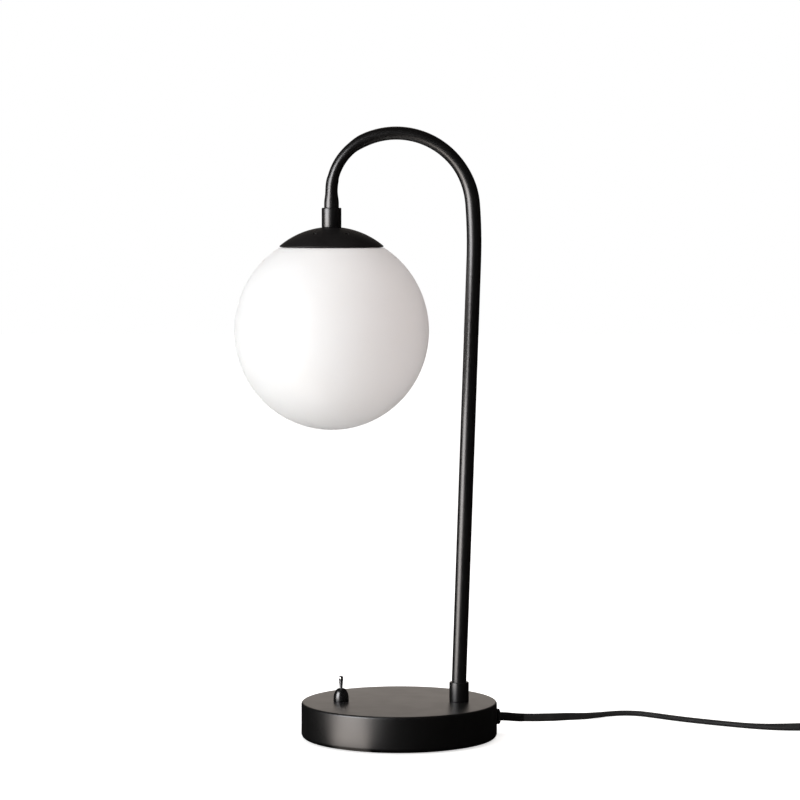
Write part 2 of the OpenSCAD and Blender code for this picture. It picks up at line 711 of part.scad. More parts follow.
module switch_bushing() color([0.75, 0.75, 0.77]) at_switch() difference() {
    union() {
        translate([0, 0, switch_top]) cylinder(r = bushing_r, h = bushing_top - switch_top);
        translate([-switch_body[0] / 2, -switch_body[1] / 2, switch_top])
            cube([switch_body[0], switch_body[1], 0.8]);
    }
    translate([0, 0, switch_top - 1]) cylinder(r = ball_r + fit, h = bushing_top);
    translate([-10, 0, pivot_z]) rotate([0, 90, 0]) cylinder(r = pin_r + 0.02, h = 20, $fn = 32);
}

module switch_hex_nut() color([0.75, 0.75, 0.77]) at_switch()
    translate([0, 0, roof_z - thin_hex_t]) hex_nut(thin_hex_af, bushing_r + fit, thin_hex_t);

// Egg-shaped nut, cut off at the top where the lever comes out
module switch_dome_nut() color([0.05, 0.05, 0.05]) at_switch() translate([0, 0, base_h]) difference() {
    widest = dome_nut_h * 0.2;
    full_h = dome_nut_h * 1.12 - widest;
    steps = 14;
    rotate_extrude() polygon(concat(
        [[0, 0], [dome_nut_d / 2 - 0.3, 0]],
        [for (i = [0:steps]) let (z = widest + (dome_nut_h - widest) * i / steps)
            [dome_nut_d / 2 * sqrt(1 - pow((z - widest) / full_h, 2)), z]],
        [[0, dome_nut_h]]
    ));
    translate([0, 0, -1]) cylinder(r = bushing_r + fit, h = dome_nut_h - 1);
    translate([0, 0, dome_nut_h - 2.6]) cylinder(r = mouth_r, h = 4);
}

module switch_pin() color([0.8, 0.8, 0.8]) at_switch()
    translate([-bushing_r, 0, pivot_z]) rotate([0, 90, 0]) cylinder(r = pin_r, h = 2 * bushing_r, $fn = 32);

// Bat lever with its ball, drawn upright and then leaned to the front
module switch_lever() color([0.86, 0.86, 0.88]) at_switch() translate([0, 0, pivot_z])
    rotate([lever_throw / 2, 0, 0]) difference() {
        tip = pivot_below + lever_l;
        union() {
            sphere(ball_r, $fn = 64);
            cylinder(r1 = lever_neck_r, r2 = lever_d / 2, h = tip - lever_d / 2);
            translate([0, 0, tip - lever_d / 2]) sphere(lever_d / 2, $fn = 64);
            translate([0, 0, -stub_l]) cylinder(r = stub_r, h = stub_l);
        }
        translate([-ball_r - 1, 0, 0]) rotate([0, 90, 0]) cylinder(r = pin_r + fit, h = 2 * ball_r + 2, $fn = 32);
    }

module switch_lugs() color([0.8, 0.74, 0.5]) at_switch() for (s = [-1, 1])
    translate([-lug[0] / 2, s * lug_y - lug[1] / 2, switch_top - switch_body[2] - lug[2]]) cube(lug);

// Wiring of the base

module terminal_block() color([0.92, 0.92, 0.9]) translate([block_x, 0, lip_top]) difference() {
    translate([-block[0] / 2, -block[1] / 2, 0]) cube([block[0], block[1], block[2] - 3]);
    for (s = [-1, 1]) translate([0, s * 4.25, block[2] - 7]) cylinder(r = 2.2, h = 5, $fn = 32);
}

module terminal_screws() color([0.7, 0.7, 0.72])
    for (s = [-1, 1]) translate([block_x, s * 4.25, lip_top + block[2] - 7]) difference() {
        cylinder(r = 2.1, h = 3.2, $fn = 32);
        translate([-3, -0.3, 2.4]) cube([6, 0.6, 1]);
    }

// Wires that lie free in the base, each through points chosen by hand
block_back = block_x - block[0] / 2 - play;
lug_foot = switch_top - switch_body[2] - lug[2];
core_height = 1.3;
function core(r, up) = [r * cos(cord_az), r * sin(cord_az), cord_z + up * core_height];
wire_routes = [
    [[block_back, -4, 6], [block_back - 4, -4, 6], [-30, -6, 5.5], [-40, -6, 5],
     [-switch_x, -lug_y, lug_foot - wire_r - 0.2]],
    [core(jacket_end_r - play, -1), core(jacket_end_r - 3, -1), [55, 10.7, 12], [48, 12.5, 9.6], [34, 12.5, 6],
     [20, 9, 5.5], [block_face + 5, 4.25, 6], [block_face + play, 4.25, 6]],
    [core(jacket_end_r - play, 1), core(jacket_end_r - 3, 1), [55, 13, 15.8], [48, 16.6, 12.6], [34, 16, 7.6],
     [18, 14, 6], [0, 13.5, 5.5], [-20, 12.5, 5.5], [-36, 8, 5], [-switch_x, lug_y, lug_foot - wire_r - 0.2]]
];
wire_colours = [[0.4, 0.24, 0.14], [0.15, 0.3, 0.6], [0.4, 0.24, 0.14]];
module base_leads() for (i = [0:len(wire_routes) - 1]) color(wire_colours[i]) {
    p = smooth(wire_routes[i], 3);
    tube_of_rings([for (k = [0:len(p) - 1]) ring_points(p[k], run_dir(p, k), 0, 2 * wire_r, 2 * wire_r - 0.01, 8)]);
}

// Cord

module cord_grommet() color([0.05, 0.05, 0.05]) difference() {
    union() {
        at_outlet(sleeve_start - flange_t) rotate_extrude($fn = 60) polygon([
            [0, 0], [flange_r - flange_edge, 0], [flange_r, flange_edge], [flange_r, flange_t - flange_edge],
            [flange_r - flange_edge, flange_t], [0, flange_t]
        ]);
        at_outlet(base_r - base_wall - 6) cylinder(r = grommet_r, h = base_wall + 6 + fit + flange_gap + weld);
        at_outlet(base_r - base_wall - 6) cylinder(r = grommet_r + 0.9, h = 5.6);
    }
    at_outlet(base_r - base_wall - 7) linear_extrude(flange_t + 20) oval(cord_w + 2 * fit, cord_t + 2 * fit);
}

module cord_tail() color([0.05, 0.05, 0.05])
    at_outlet(jacket_end_r) linear_extrude(sleeve_start - jacket_end_r) oval(cord_w, cord_t);

module cord_sleeve() color([0.05, 0.05, 0.05]) {
    steps = 5;
    c = [for (i = [0:steps]) sleeve_spot(i / steps)];
    tube_of_rings([for (i = [0:steps])
        let (share = 1 - 0.05 * i / steps)
        ring_points(c[i], i == 0 || i == steps ? outlet_dir : run_dir(c, i), 90,
            (cord_w + 0.5) * share, (cord_t + 0.5) * share, cord_sides)]);
}

module cord_run() color([0.05, 0.05, 0.05]) {
    p = smooth(cord_route, route_split);
    c = [for (q = p) spot(q)];
    tube_of_rings([for (i = [0:len(c) - 1])
        ring_points(c[i], i == 0 ? outlet_dir : run_dir(c, i), p[i][3], cord_w, cord_t, cord_sides)]);
}

// Centre of the coil's cord after a number of turns from its start
half_way = coil_turns;
function coil_radius(turns) = coil_out - coil_pitch * (half_way - abs(half_way - turns));
function climb_share(turns) = min(max((turns - half_way + climb / 2) / climb, 0), 1);
function coil_height(turns) = coil_z + layer_pitch * (1 - cos(180 * climb_share(turns))) / 2;
function coil_spot(turns) =
    let (a = 90 - 360 * turns)
    [coil_x + coil_radius(turns) * cos(a), coil_y + coil_radius(turns) * sin(a), coil_height(turns)];
coil_line = concat(
    [spot(coil_start)],
    [for (i = [0:2 * coil_turns * loop_rings]) coil_spot(i / loop_rings)],
    [[coil_x + cord_w, coil_start[1], coil_z + layer_pitch]]
);
module cord_coil() color([0.05, 0.05, 0.05])
    tube_of_rings([for (i = [0:len(coil_line) - 1])
        ring_points(coil_line[i], coil_dir(i), 90, cord_w, cord_t, coil_sides)]);
function coil_dir(i) =
    i <= 1 || i >= len(coil_line) - 2 ? [1, 0, 0] : unit(coil_line[i + 1] - coil_line[i - 1]);

module cord_tie() color([0.08, 0.08, 0.08]) {
    r0 = coil_out - coil_pitch * coil_turns - cord_t / 2 - play;
    r1 = coil_out + cord_t / 2 + play;
    z0 = coil_z - cord_w / 2 - play;
    z1 = coil_z + layer_pitch + cord_w / 2 + play;
    translate([coil_x, coil_y, 0]) rotate([0, 0, tie_az]) translate([0, tie_w / 2, 0]) rotate([90, 0, 0])
        linear_extrude(tie_w) difference() {
            rounded_box(r0 - tie_t, z0 - tie_t, r1 + tie_t, z1 + tie_t, 1.6);
            rounded_box(r0, z0, r1, z1, 0.8);
        }
}
module rounded_box(x0, y0, x1, y1, r) {
    translate([x0 + r, y0]) square([x1 - x0 - 2 * r, y1 - y0]);
    translate([x0, y0 + r]) square([x1 - x0, y1 - y0 - 2 * r]);
    for (x = [x0 + r, x1 - r], y = [y0 + r, y1 - r]) translate([x, y]) circle(r, $fn = 32);
}

end_start = coil_line[len(coil_line) - 1];
relief_rear = plug_x - plug_relief_l;
end_step = (relief_rear - end_start[0]) / 4;
cord_end_line = [for (i = [0:4])
    [end_start[0] + i * end_step, end_start[1], end_start[2] - (end_start[2] - plug_z) * (1 - cos(45 * i)) / 2]];
module cord_end() color([0.05, 0.05, 0.05])
    tube_of_rings([for (i = [0:4])
        ring_points(cord_end_line[i], i == 0 || i == 4 ? [1, 0, 0] : run_dir(cord_end_line, i),
            90, cord_w, cord_t, cord_sides)]);

// Flat two-pin plug: parallel front, drawn in to the cord at the rear
module plug_body() color([0.06, 0.06, 0.06]) translate([plug_x, plug_y, 0]) difference() {
    half = plug_w / 2;
    rear = plug_rear_w / 2;
    edge = 2;
    hull() for (z = [0, 1]) translate([0, 0, z * edge]) linear_extrude(plug_t - 2 * z * edge) polygon([
        [(1 - z) * edge, -rear + (1 - z) * edge], [9, -rear - 3], [plug_l - 12, -half + (1 - z) * edge],
        [plug_l, -half + (1 - z) * edge], [plug_l, half - (1 - z) * edge], [plug_l - 12, half - (1 - z) * edge],
        [9, rear + 3], [(1 - z) * edge, rear - (1 - z) * edge]
    ]);
}

module plug_relief() color([0.06, 0.06, 0.06]) translate([plug_x, plug_y, plug_z])
    rotate([0, -90, 0]) linear_extrude(plug_relief_l, scale = 0.72) oval(cord_w + 3, cord_t + 2.6, $fn = 32);

module plug_pins() color([0.8, 0.8, 0.8]) for (s = [-1, 1])
    translate([plug_x + plug_l, plug_y + s * plug_pin_gap / 2, plug_z]) rotate([0, 90, 0]) {
        cylinder(r = plug_pin_r, h = plug_pin_l - plug_pin_r / 2);
        translate([0, 0, plug_pin_l - plug_pin_r / 2])
            cylinder(r1 = plug_pin_r, r2 = plug_pin_r / 2, h = plug_pin_r / 2);
    }

// Least gap of the coil to itself, between points at least half a turn apart
module report_gaps() {
    reach = loop_rings / 2;
    gaps = [for (i = [0:len(coil_line) - 1 - reach]) for (j = [i + reach:len(coil_line) - 1])
        let (d = coil_line[j] - coil_line[i], high = max(abs(d[2]) - (cord_w - cord_t), 0))
        norm([d[0], d[1], high]) - cord_t];
    run = [for (q = smooth(cord_route, 8)) spot(q)];
    echo(least_coil_gap = min(gaps));
    echo(cord_length = length_of(run) + length_of(coil_line) + length_of(cord_end_line) + sleeve_grip);
}
function length_of(p) = sum([for (i = [1:len(p) - 1]) norm(p[i] - p[i - 1])]);
function sum(v, i = 0) = i == len(v) ? 0 : v[i] + sum(v, i + 1);
report_gaps();

base_housing();
base_weight();
base_plate();
foot_pad();
base_screws();
lower_collar();
lower_nipple();
lower_washer();
lower_nut();
stem_tube();
stem_leads();
upper_collar();
upper_nipple();
upper_nut();
star_washer();
globe_cap();
globe_springs();
globe();
holder_cap();
holder_sleeve();
holder_core();
holder_shell();
centre_contact();
bulb_glass();
bulb_base();
bulb_contact();
switch_body();
switch_bushing();
switch_hex_nut();
switch_dome_nut();
switch_pin();
switch_lever();
switch_lugs();
terminal_block();
terminal_screws();
base_leads();
cord_grommet();
cord_tail();
cord_sleeve();
cord_run();
cord_coil();
cord_tie();
cord_end();
plug_body();
plug_relief();
plug_pins();
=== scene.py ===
"""Looks of a crook-neck table lamp: black coated steel, an opal globe, a toggle switch and a flat cord."""
import json
import math

import bmesh
import bpy
from mathutils import Matrix, Vector


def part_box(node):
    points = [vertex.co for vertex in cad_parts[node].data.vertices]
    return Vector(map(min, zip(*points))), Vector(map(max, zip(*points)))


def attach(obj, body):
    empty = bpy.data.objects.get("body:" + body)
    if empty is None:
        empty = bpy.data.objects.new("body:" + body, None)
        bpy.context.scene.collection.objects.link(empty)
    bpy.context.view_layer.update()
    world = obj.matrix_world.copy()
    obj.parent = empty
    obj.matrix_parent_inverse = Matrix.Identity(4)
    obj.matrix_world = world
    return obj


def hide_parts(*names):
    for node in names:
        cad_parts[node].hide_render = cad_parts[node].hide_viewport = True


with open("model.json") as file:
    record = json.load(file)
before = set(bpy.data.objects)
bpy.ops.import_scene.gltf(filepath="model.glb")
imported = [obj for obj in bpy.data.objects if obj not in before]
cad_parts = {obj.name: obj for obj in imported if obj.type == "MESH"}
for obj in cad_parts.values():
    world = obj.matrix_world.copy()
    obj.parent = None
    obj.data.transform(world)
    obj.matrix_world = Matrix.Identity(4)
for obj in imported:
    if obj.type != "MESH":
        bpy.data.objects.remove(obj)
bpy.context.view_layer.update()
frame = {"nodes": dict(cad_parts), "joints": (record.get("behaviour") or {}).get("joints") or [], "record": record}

MM = 0.001
LAMP = "lamp"
LEVER = "lever"


# Camera, floor and lights

CAMERA_PLACE = (0.000675, -2.4765, 0.4317)
CAMERA_PITCH = math.radians(90 - 3.58)
FOCAL_PX = 3052
FRAME_PX = 800
SENSOR_MM = 36


def make_camera():
    data = bpy.data.cameras.new("camera")
    data.sensor_width = SENSOR_MM
    data.lens = FOCAL_PX / FRAME_PX * SENSOR_MM
    data.clip_start = 0.05
    data.clip_end = 60
    camera = bpy.data.objects.new("camera", data)
    bpy.context.collection.objects.link(camera)
    camera.location = CAMERA_PLACE
    camera.rotation_euler = (CAMERA_PITCH, 0, 0)
    bpy.context.scene.camera = camera
    bpy.context.scene.view_settings.view_transform = "Standard"


# Where every light points: a place over the middle of the base
AIM = (0, 0, 0.2)


def softbox(name, place, size, power, tint, in_gloss=True, in_diffuse=True):
    data = bpy.data.lights.new(name, "AREA")
    data.shape = "RECTANGLE"
    data.size, data.size_y = size
    data.energy = power
    data.color = tint
    lamp = bpy.data.objects.new(name, data)
    bpy.context.collection.objects.link(lamp)
    lamp.location = place
    lamp.rotation_euler = (Vector(place) - Vector(AIM)).to_track_quat("Z", "Y").to_euler()
    lamp.visible_glossy = in_gloss
    lamp.visible_diffuse = in_diffuse
    lamp.visible_camera = False


def around(azimuth, distance, height):
    """A place seen from the lamp: azimuth 0 is straight to the front and -90 to the left."""
    a = math.radians(azimuth)
    return (distance * math.sin(a), -distance * math.cos(a), height)


KEY_AZIMUTH = -56


def make_lights():
    """Two key lights, a sheen that shows in gloss only, a warm fill from the right and a light from above."""
    softbox("key_left", around(KEY_AZIMUTH, 1.5, 0.5), (1.1, 1.3), 11.9, (0.935, 0.995, 1.0))
    softbox("key_high", around(KEY_AZIMUTH, 1.5, 0.68), (1.05, 0.7), 6, (0.98, 0.99, 1.0))
    softbox("key_sheen", around(KEY_AZIMUTH + 1, 1.52, 0.5), (1.2, 1.3), 15, (1.0, 0.935, 0.985),
            in_diffuse=False)
    softbox("fill_right", around(45, 2.2, 0.5), (1.6, 1.6), 13, (1.0, 0.88, 0.84), in_gloss=False)
    softbox("top", (0, 0.1, 2.2), (1.4, 1.4), 11, (1.0, 0.98, 0.96), in_gloss=False)


WARM = (1.0, 0.9, 0.82, 1)
SOFT = (1.0, 0.945, 0.93, 1)
WHITE = (1, 1, 1, 1)
SKY = 0.388
GLOSS_DARK = 0.012
GLOSS_BRIGHT = 0.8


def make_world():
    """White to the camera, warm and soft to everything else, and bright in gloss only behind the lamp."""
    world = bpy.data.worlds.new("studio")
    bpy.context.scene.world = world
    world.use_nodes = True
    nodes, links = world.node_tree.nodes, world.node_tree.links
    nodes.clear()
    path = nodes.new("ShaderNodeLightPath")
    place = nodes.new("ShaderNodeTexCoord")
    parts = nodes.new("ShaderNodeSeparateXYZ")
    links.new(place.outputs["Generated"], parts.inputs[0])
    ahead = ranged(nodes, links, parts.outputs["Y"], 0.55, 0.95, 0.0, 1.0)
    not_right = ranged(nodes, links, parts.outputs["X"], 0.05, 0.35, 1.0, 0.0)
    not_left = ranged(nodes, links, parts.outputs["X"], -0.32, -0.09, 0.06, 1.0)
    low = ranged(nodes, links, parts.outputs["Z"], 0.35, 0.75, 1.0, 0.15)
    backdrop = times(nodes, links, times(nodes, links, ahead, not_right), times(nodes, links, low, not_left))
    gloss = ranged(nodes, links, backdrop, 0.0, 1.0, GLOSS_DARK, GLOSS_BRIGHT)
    in_gloss = mixed(nodes, links, path.outputs["Is Glossy Ray"], SKY, gloss)
    seen = mixed(nodes, links, path.outputs["Is Camera Ray"], in_gloss, 1.0)
    unseen = mixed_colour(nodes, links, path.outputs["Is Glossy Ray"], SOFT, WARM)
    tint = mixed_colour(nodes, links, path.outputs["Is Camera Ray"], unseen, WHITE)
    shade = nodes.new("ShaderNodeBackground")
    out = nodes.new("ShaderNodeOutputWorld")
    links.new(tint, shade.inputs["Color"])
    links.new(seen, shade.inputs["Strength"])
    links.new(shade.outputs[0], out.inputs[0])


def ranged(nodes, links, value, low, high, to_low, to_high):
    """A value spread smoothly from one range to another."""
    node = nodes.new("ShaderNodeMapRange")
    node.interpolation_type = "SMOOTHSTEP"
    for name, number in (("From Min", low), ("From Max", high), ("To Min", to_low), ("To Max", to_high)):
        node.inputs[name].default_value = number
    links.new(value, node.inputs["Value"])
    return node.outputs["Result"]


def times(nodes, links, a, b):
    node = nodes.new("ShaderNodeMath")
    node.operation = "MULTIPLY"
    links.new(a, node.inputs[0])
    links.new(b, node.inputs[1])
    return node.outputs[0]


def mixed(nodes, links, share, a, b, kind="FLOAT"):
    """a where share is 0 and b where it is 1; each is a constant or a socket."""
    node = nodes.new("ShaderNodeMix")
    node.data_type = kind
    links.new(share, node.inputs["Factor"])
    for name, value in (("A", a), ("B", b)):
        if isinstance(value, bpy.types.NodeSocket):
            links.new(value, node.inputs[name])
        else:
            node.inputs[name].default_value = value
    return node.outputs["Result"]


def mixed_colour(nodes, links, share, a, b):
    return mixed(nodes, links, share, a, b, "RGBA")


def mixed_shader(nodes, links, share, a, b):
    node = nodes.new("ShaderNodeMixShader")
    for socket, source in zip(node.inputs, (share, a, b)):
        links.new(source, socket)
    return node.outputs[0]


def vector_math(nodes, links, operation, a, b=None):
    """A vector, or the value of a length or a dot product; b is a constant."""
    node = nodes.new("ShaderNodeVectorMath")
    node.operation = operation
    links.new(a, node.inputs[0])
    if b is not None:
        node.inputs[1].default_value = b
    return node.outputs["Value" if operation in ("LENGTH", "DOT_PRODUCT") else "Vector"]


FLOOR_HALF = 8
FLOOR_COLOUR = (0.88, 0.88, 0.87, 1)
BASE_EDGE = 0.08


def make_floor():
    shape = bmesh.new()
    bmesh.ops.create_grid(shape, x_segments=1, y_segments=1, size=FLOOR_HALF)
    data = bpy.data.meshes.new("floor")
    shape.to_mesh(data)
    shape.free()
    floor = bpy.data.objects.new("floor", data)
    bpy.context.collection.objects.link(floor)
    paint = bpy.data.materials.new("floor")
    paint.use_nodes = True
    nodes, links = paint.node_tree.nodes, paint.node_tree.links
    nodes.clear()
    path = nodes.new("ShaderNodeLightPath")
    lit = nodes.new("ShaderNodeBsdfDiffuse")
    lit.inputs["Color"].default_value = FLOOR_COLOUR
    glow = nodes.new("ShaderNodeEmission")
    links.new(floor_glow(nodes, links), glow.inputs["Strength"])
    for_camera = nodes.new("ShaderNodeAddShader")
    links.new(lit.outputs[0], for_camera.inputs[0])
    links.new(glow.outputs[0], for_camera.inputs[1])
    in_gloss = nodes.new("ShaderNodeEmission")
    in_gloss.inputs["Color"].default_value = WARM
    links.new(floor_gloss(nodes, links), in_gloss.inputs["Strength"])
    unseen = mixed_shader(nodes, links, path.outputs["Is Glossy Ray"], lit.outputs[0], in_gloss.outputs[0])
    shown = mixed_shader(nodes, links, path.outputs["Is Camera Ray"], unseen, for_camera.outputs[0])
    out = nodes.new("ShaderNodeOutputMaterial")
    links.new(shown, out.inputs[0])
    data.materials.append(paint)


def floor_glow(nodes, links):
    """What is added to the lit floor for the camera: less beside the base, so a contact shadow shows there, partly
    the real shadow and partly painted shade.
    """
    away = vector_math(nodes, links, "LENGTH", nodes.new("ShaderNodeTexCoord").outputs["Object"])
    # Painted shade: the glow drops from 0.82 to 0.62 in a ring next to the base.
    return ranged(nodes, links, away, BASE_EDGE, 0.105, 0.62, 0.82)


PATCH_FROM = (-0.01, -0.055, 0)
PATCH_AZIMUTH = -59.5


def floor_gloss(nodes, links):
    """The floor in reflections: a painted white patch towards the key light, as the base's front edge sees it,
    which paints the sheen on the base's side; dimmed beside the base as painted contact shade; else dark.
    """
    place = nodes.new("ShaderNodeTexCoord").outputs["Object"]
    apart = vector_math(nodes, links, "SUBTRACT", place, PATCH_FROM)
    heading = vector_math(nodes, links, "NORMALIZE", apart)
    to_key = vector_math(nodes, links, "DOT_PRODUCT", heading, Vector(around(PATCH_AZIMUTH, 1, 0)))
    away = vector_math(nodes, links, "LENGTH", place)
    # Painted shade: the reflected floor is dimmed next to the base.
    outside_painted_shade = ranged(nodes, links, away, BASE_EDGE, 0.115, 0.1, 1.0)
    # Painted reflection: a glowing patch of floor towards the key light, seen in gloss only.
    painted_reflection_patch = ranged(nodes, links, to_key, 0.87, 0.96, 0.004, 4.1)
    return times(nodes, links, outside_painted_shade, painted_reflection_patch)


# Finishes


class Finish:
    """A material under construction: a Principled shader with Object coordinates to hand."""

    def __init__(self, name, colour, roughness, metallic=0.0, specular=0.5):
        self.material = bpy.data.materials.new(name)
        self.material.use_nodes = True
        self.nodes = self.material.node_tree.nodes
        self.links = self.material.node_tree.links
        self.shader = self.nodes["Principled BSDF"]
        self.colour = (*colour, 1)
        self.roughness = roughness
        self.set("Base Color", self.colour)
        self.set("Roughness", roughness)
        self.set("Metallic", metallic)
        self.set("Specular IOR Level", specular)
        self.place = self.nodes.new("ShaderNodeTexCoord").outputs["Object"]

    def set(self, socket, value):
        self.shader.inputs[socket].default_value = value
        return self

    def stretched(self, scale):
        node = self.nodes.new("ShaderNodeMapping")
        node.inputs["Scale"].default_value = scale
        self.links.new(self.place, node.inputs["Vector"])
        return node.outputs[0]

    def noise(self, scale, detail=2.0, rough=0.5, place=None):
        node = self.nodes.new("ShaderNodeTexNoise")
        node.inputs["Scale"].default_value = scale
        node.inputs["Detail"].default_value = detail
        node.inputs["Roughness"].default_value = rough
        self.links.new(place or self.place, node.inputs["Vector"])
        return node.outputs["Fac"]

    def cells(self, scale):
        node = self.nodes.new("ShaderNodeTexVoronoi")
        node.inputs["Scale"].default_value = scale
        self.links.new(self.place, node.inputs["Vector"])
        return node.outputs["Distance"]

    def vary_colour(self, pattern, other, low=0.35, high=0.65):
        share = ranged(self.nodes, self.links, pattern, low, high, 0.0, 1.0)
        colour = mixed_colour(self.nodes, self.links, share, self.colour, (*other, 1))
        self.links.new(colour, self.shader.inputs["Base Color"])
        return self

    def vary_roughness(self, pattern, spread, low=0.3, high=0.7):
        least, most = self.roughness - spread, self.roughness + spread
        value = ranged(self.nodes, self.links, pattern, low, high, least, most)
        self.links.new(value, self.shader.inputs["Roughness"])
        return self

    def bump(self, pattern, height, strength=0.5):
        node = self.nodes.new("ShaderNodeBump")
        node.inputs["Distance"].default_value = height
        node.inputs["Strength"].default_value = strength
        self.links.new(pattern, node.inputs["Height"])
        before = self.shader.inputs["Normal"]
        if before.is_linked:
            self.links.new(before.links[0].from_socket, node.inputs["Normal"])
        self.links.new(node.outputs[0], before)
        return self


def powder_coat(name, colour, roughness, specular):
    """Satin coating: a fine orange peel, and a gloss that drifts a little from place to place."""
    made = Finish(name, colour, roughness, specular=specular)
    made.vary_colour(made.noise(40, 3), tuple(1.25 * c for c in colour))
    made.vary_roughness(made.noise(55, 4), 0.012)
    made.bump(made.noise(1500, 2), 0.00003, 0.35)
    return made.material


def black_nickel():
    made = Finish("black_nickel", (0.004, 0.004, 0.0042), 0.28, specular=0.9)
    made.set("Coat Weight", 0.5).set("Coat Roughness", 0.14)
    made.vary_roughness(made.noise(260, 4), 0.03)
    made.bump(made.noise(900, 2), 0.00001, 0.2)
    return made.material


def polished_chrome(name, colour, roughness):
    made = Finish(name, colour, roughness, metallic=1.0)
    hairs = made.noise(120, 5, 0.65, made.stretched((9, 9, 0.6)))
    made.vary_roughness(hairs, roughness * 0.5)
    made.bump(hairs, 0.00001, 0.12)
    return made.material


def plated_steel(name, colour, roughness):
    """Bright plating with rolled streaks and a faint cloudiness."""
    made = Finish(name, colour, roughness, metallic=1.0)
    streaks = made.noise(90, 6, 0.7, made.stretched((12, 0.8, 12)))
    made.vary_colour(made.noise(30, 3), tuple(0.86 * c for c in colour))
    made.vary_roughness(streaks, 0.07)
    made.bump(streaks, 0.00002, 0.25)
    return made.material


def turned_brass():
    made = Finish("turned_brass", (0.72, 0.53, 0.24), 0.28, metallic=1.0)
    rings = made.noise(160, 4, 0.6, made.stretched((0.5, 0.5, 14)))
    made.vary_colour(made.noise(60, 4), (0.55, 0.38, 0.16))
    made.vary_roughness(rings, 0.08)
    made.bump(rings, 0.00002, 0.3)
    return made.material


def cast_iron():
    made = Finish("cast_iron", (0.09, 0.088, 0.09), 0.72, metallic=0.6)
    made.vary_colour(made.noise(70, 5), (0.14, 0.1, 0.075), 0.45, 0.7)
    made.vary_roughness(made.noise(120, 5), 0.12)
    made.bump(made.noise(520, 5, 0.65), 0.0003, 0.7)
    return made.material


def opal_glass():
    """Opal glass, etched outside to a silky matt, with faint clouds in the white."""
    made = Finish("opal_glass", (0.93, 0.918, 0.917), 0.46, specular=0.35)
    made.set("Subsurface Weight", 0.25).set("Subsurface Radius", (1.0, 0.92, 0.85))
    made.set("Subsurface Scale", 0.012)
    made.vary_colour(made.noise(14, 2), (0.918, 0.905, 0.9))
    made.vary_roughness(made.noise(30, 3), 0.03)
    made.bump(made.noise(2600, 2), 0.000012, 0.25)
    return made.material


def frosted_glass():
    made = Finish("frosted_glass", (0.95, 0.94, 0.91), 0.5)
    made.set("Subsurface Weight", 0.2).set("Subsurface Scale", 0.004)
    made.vary_roughness(made.noise(80, 3), 0.05)
    made.bump(made.noise(1900, 3), 0.00001, 0.3)
    return made.material


def drawn_aluminium():
    made = Finish("plain_aluminium", (0.76, 0.75, 0.73), 0.34, metallic=1.0)
    streaks = made.noise(110, 5, 0.7, made.stretched((10, 10, 0.8)))
    made.vary_roughness(streaks, 0.08)
    made.bump(streaks, 0.00002, 0.25)
    return made.material


def moulding(name, colour, roughness, grain=900, depth=0.00004):
    """Moulded plastic: a spark-eroded grain and a gloss that varies with it."""
    made = Finish(name, colour, roughness, specular=0.4)
    made.vary_colour(made.noise(45, 3), tuple(min(1.2 * c, 1) for c in colour))
    made.vary_roughness(made.noise(130, 4), 0.05)
    made.bump(made.cells(grain), depth, 0.4)
    return made.material


def glazed_ceramic():
    made = Finish("glazed_ceramic", (0.86, 0.84, 0.79), 0.18, specular=0.6)
    made.vary_colour(made.noise(500, 4), (0.78, 0.75, 0.68), 0.58, 0.75)
    made.vary_roughness(made.noise(90, 3), 0.05)
    made.bump(made.noise(240, 3), 0.00005, 0.2)
    return made.material


def foam_rubber():
    made = Finish("foam_pad", (0.03, 0.03, 0.03), 0.9, specular=0.2)
    made.vary_colour(made.cells(1400), (0.055, 0.055, 0.055), 0.2, 0.6)
    made.vary_roughness(made.noise(300, 3), 0.06)
    made.bump(made.cells(1400), 0.0002, 0.8)
    return made.material


def lead_insulation():
    """Thin insulation, blue with a brown neighbour: the colour changes at the middle plane, y = 0."""
    made = Finish("lead_insulation", (0.03, 0.09, 0.3), 0.42)
    parts = made.nodes.new("ShaderNodeSeparateXYZ")
    made.links.new(made.place, parts.inputs[0])
    made.vary_colour(parts.outputs["Y"], (0.19, 0.085, 0.04), -0.0001, 0.0001)
    made.vary_roughness(made.noise(220, 3), 0.05)
    made.bump(made.noise(700, 3), 0.00003, 0.3)
    return made.material


def cord_sheath():
    """Soft PVC sheath: a dull sheen, faint drawn lines and a little dust."""
    made = Finish("cord_sheath", (0.019, 0.019, 0.019), 0.62, specular=0.25)
    made.vary_colour(made.noise(90, 5, 0.65), (0.027, 0.027, 0.027), 0.45, 0.75)
    made.vary_roughness(made.noise(60, 4), 0.06)
    made.bump(made.noise(1100, 3), 0.00004, 0.35)
    return made.material


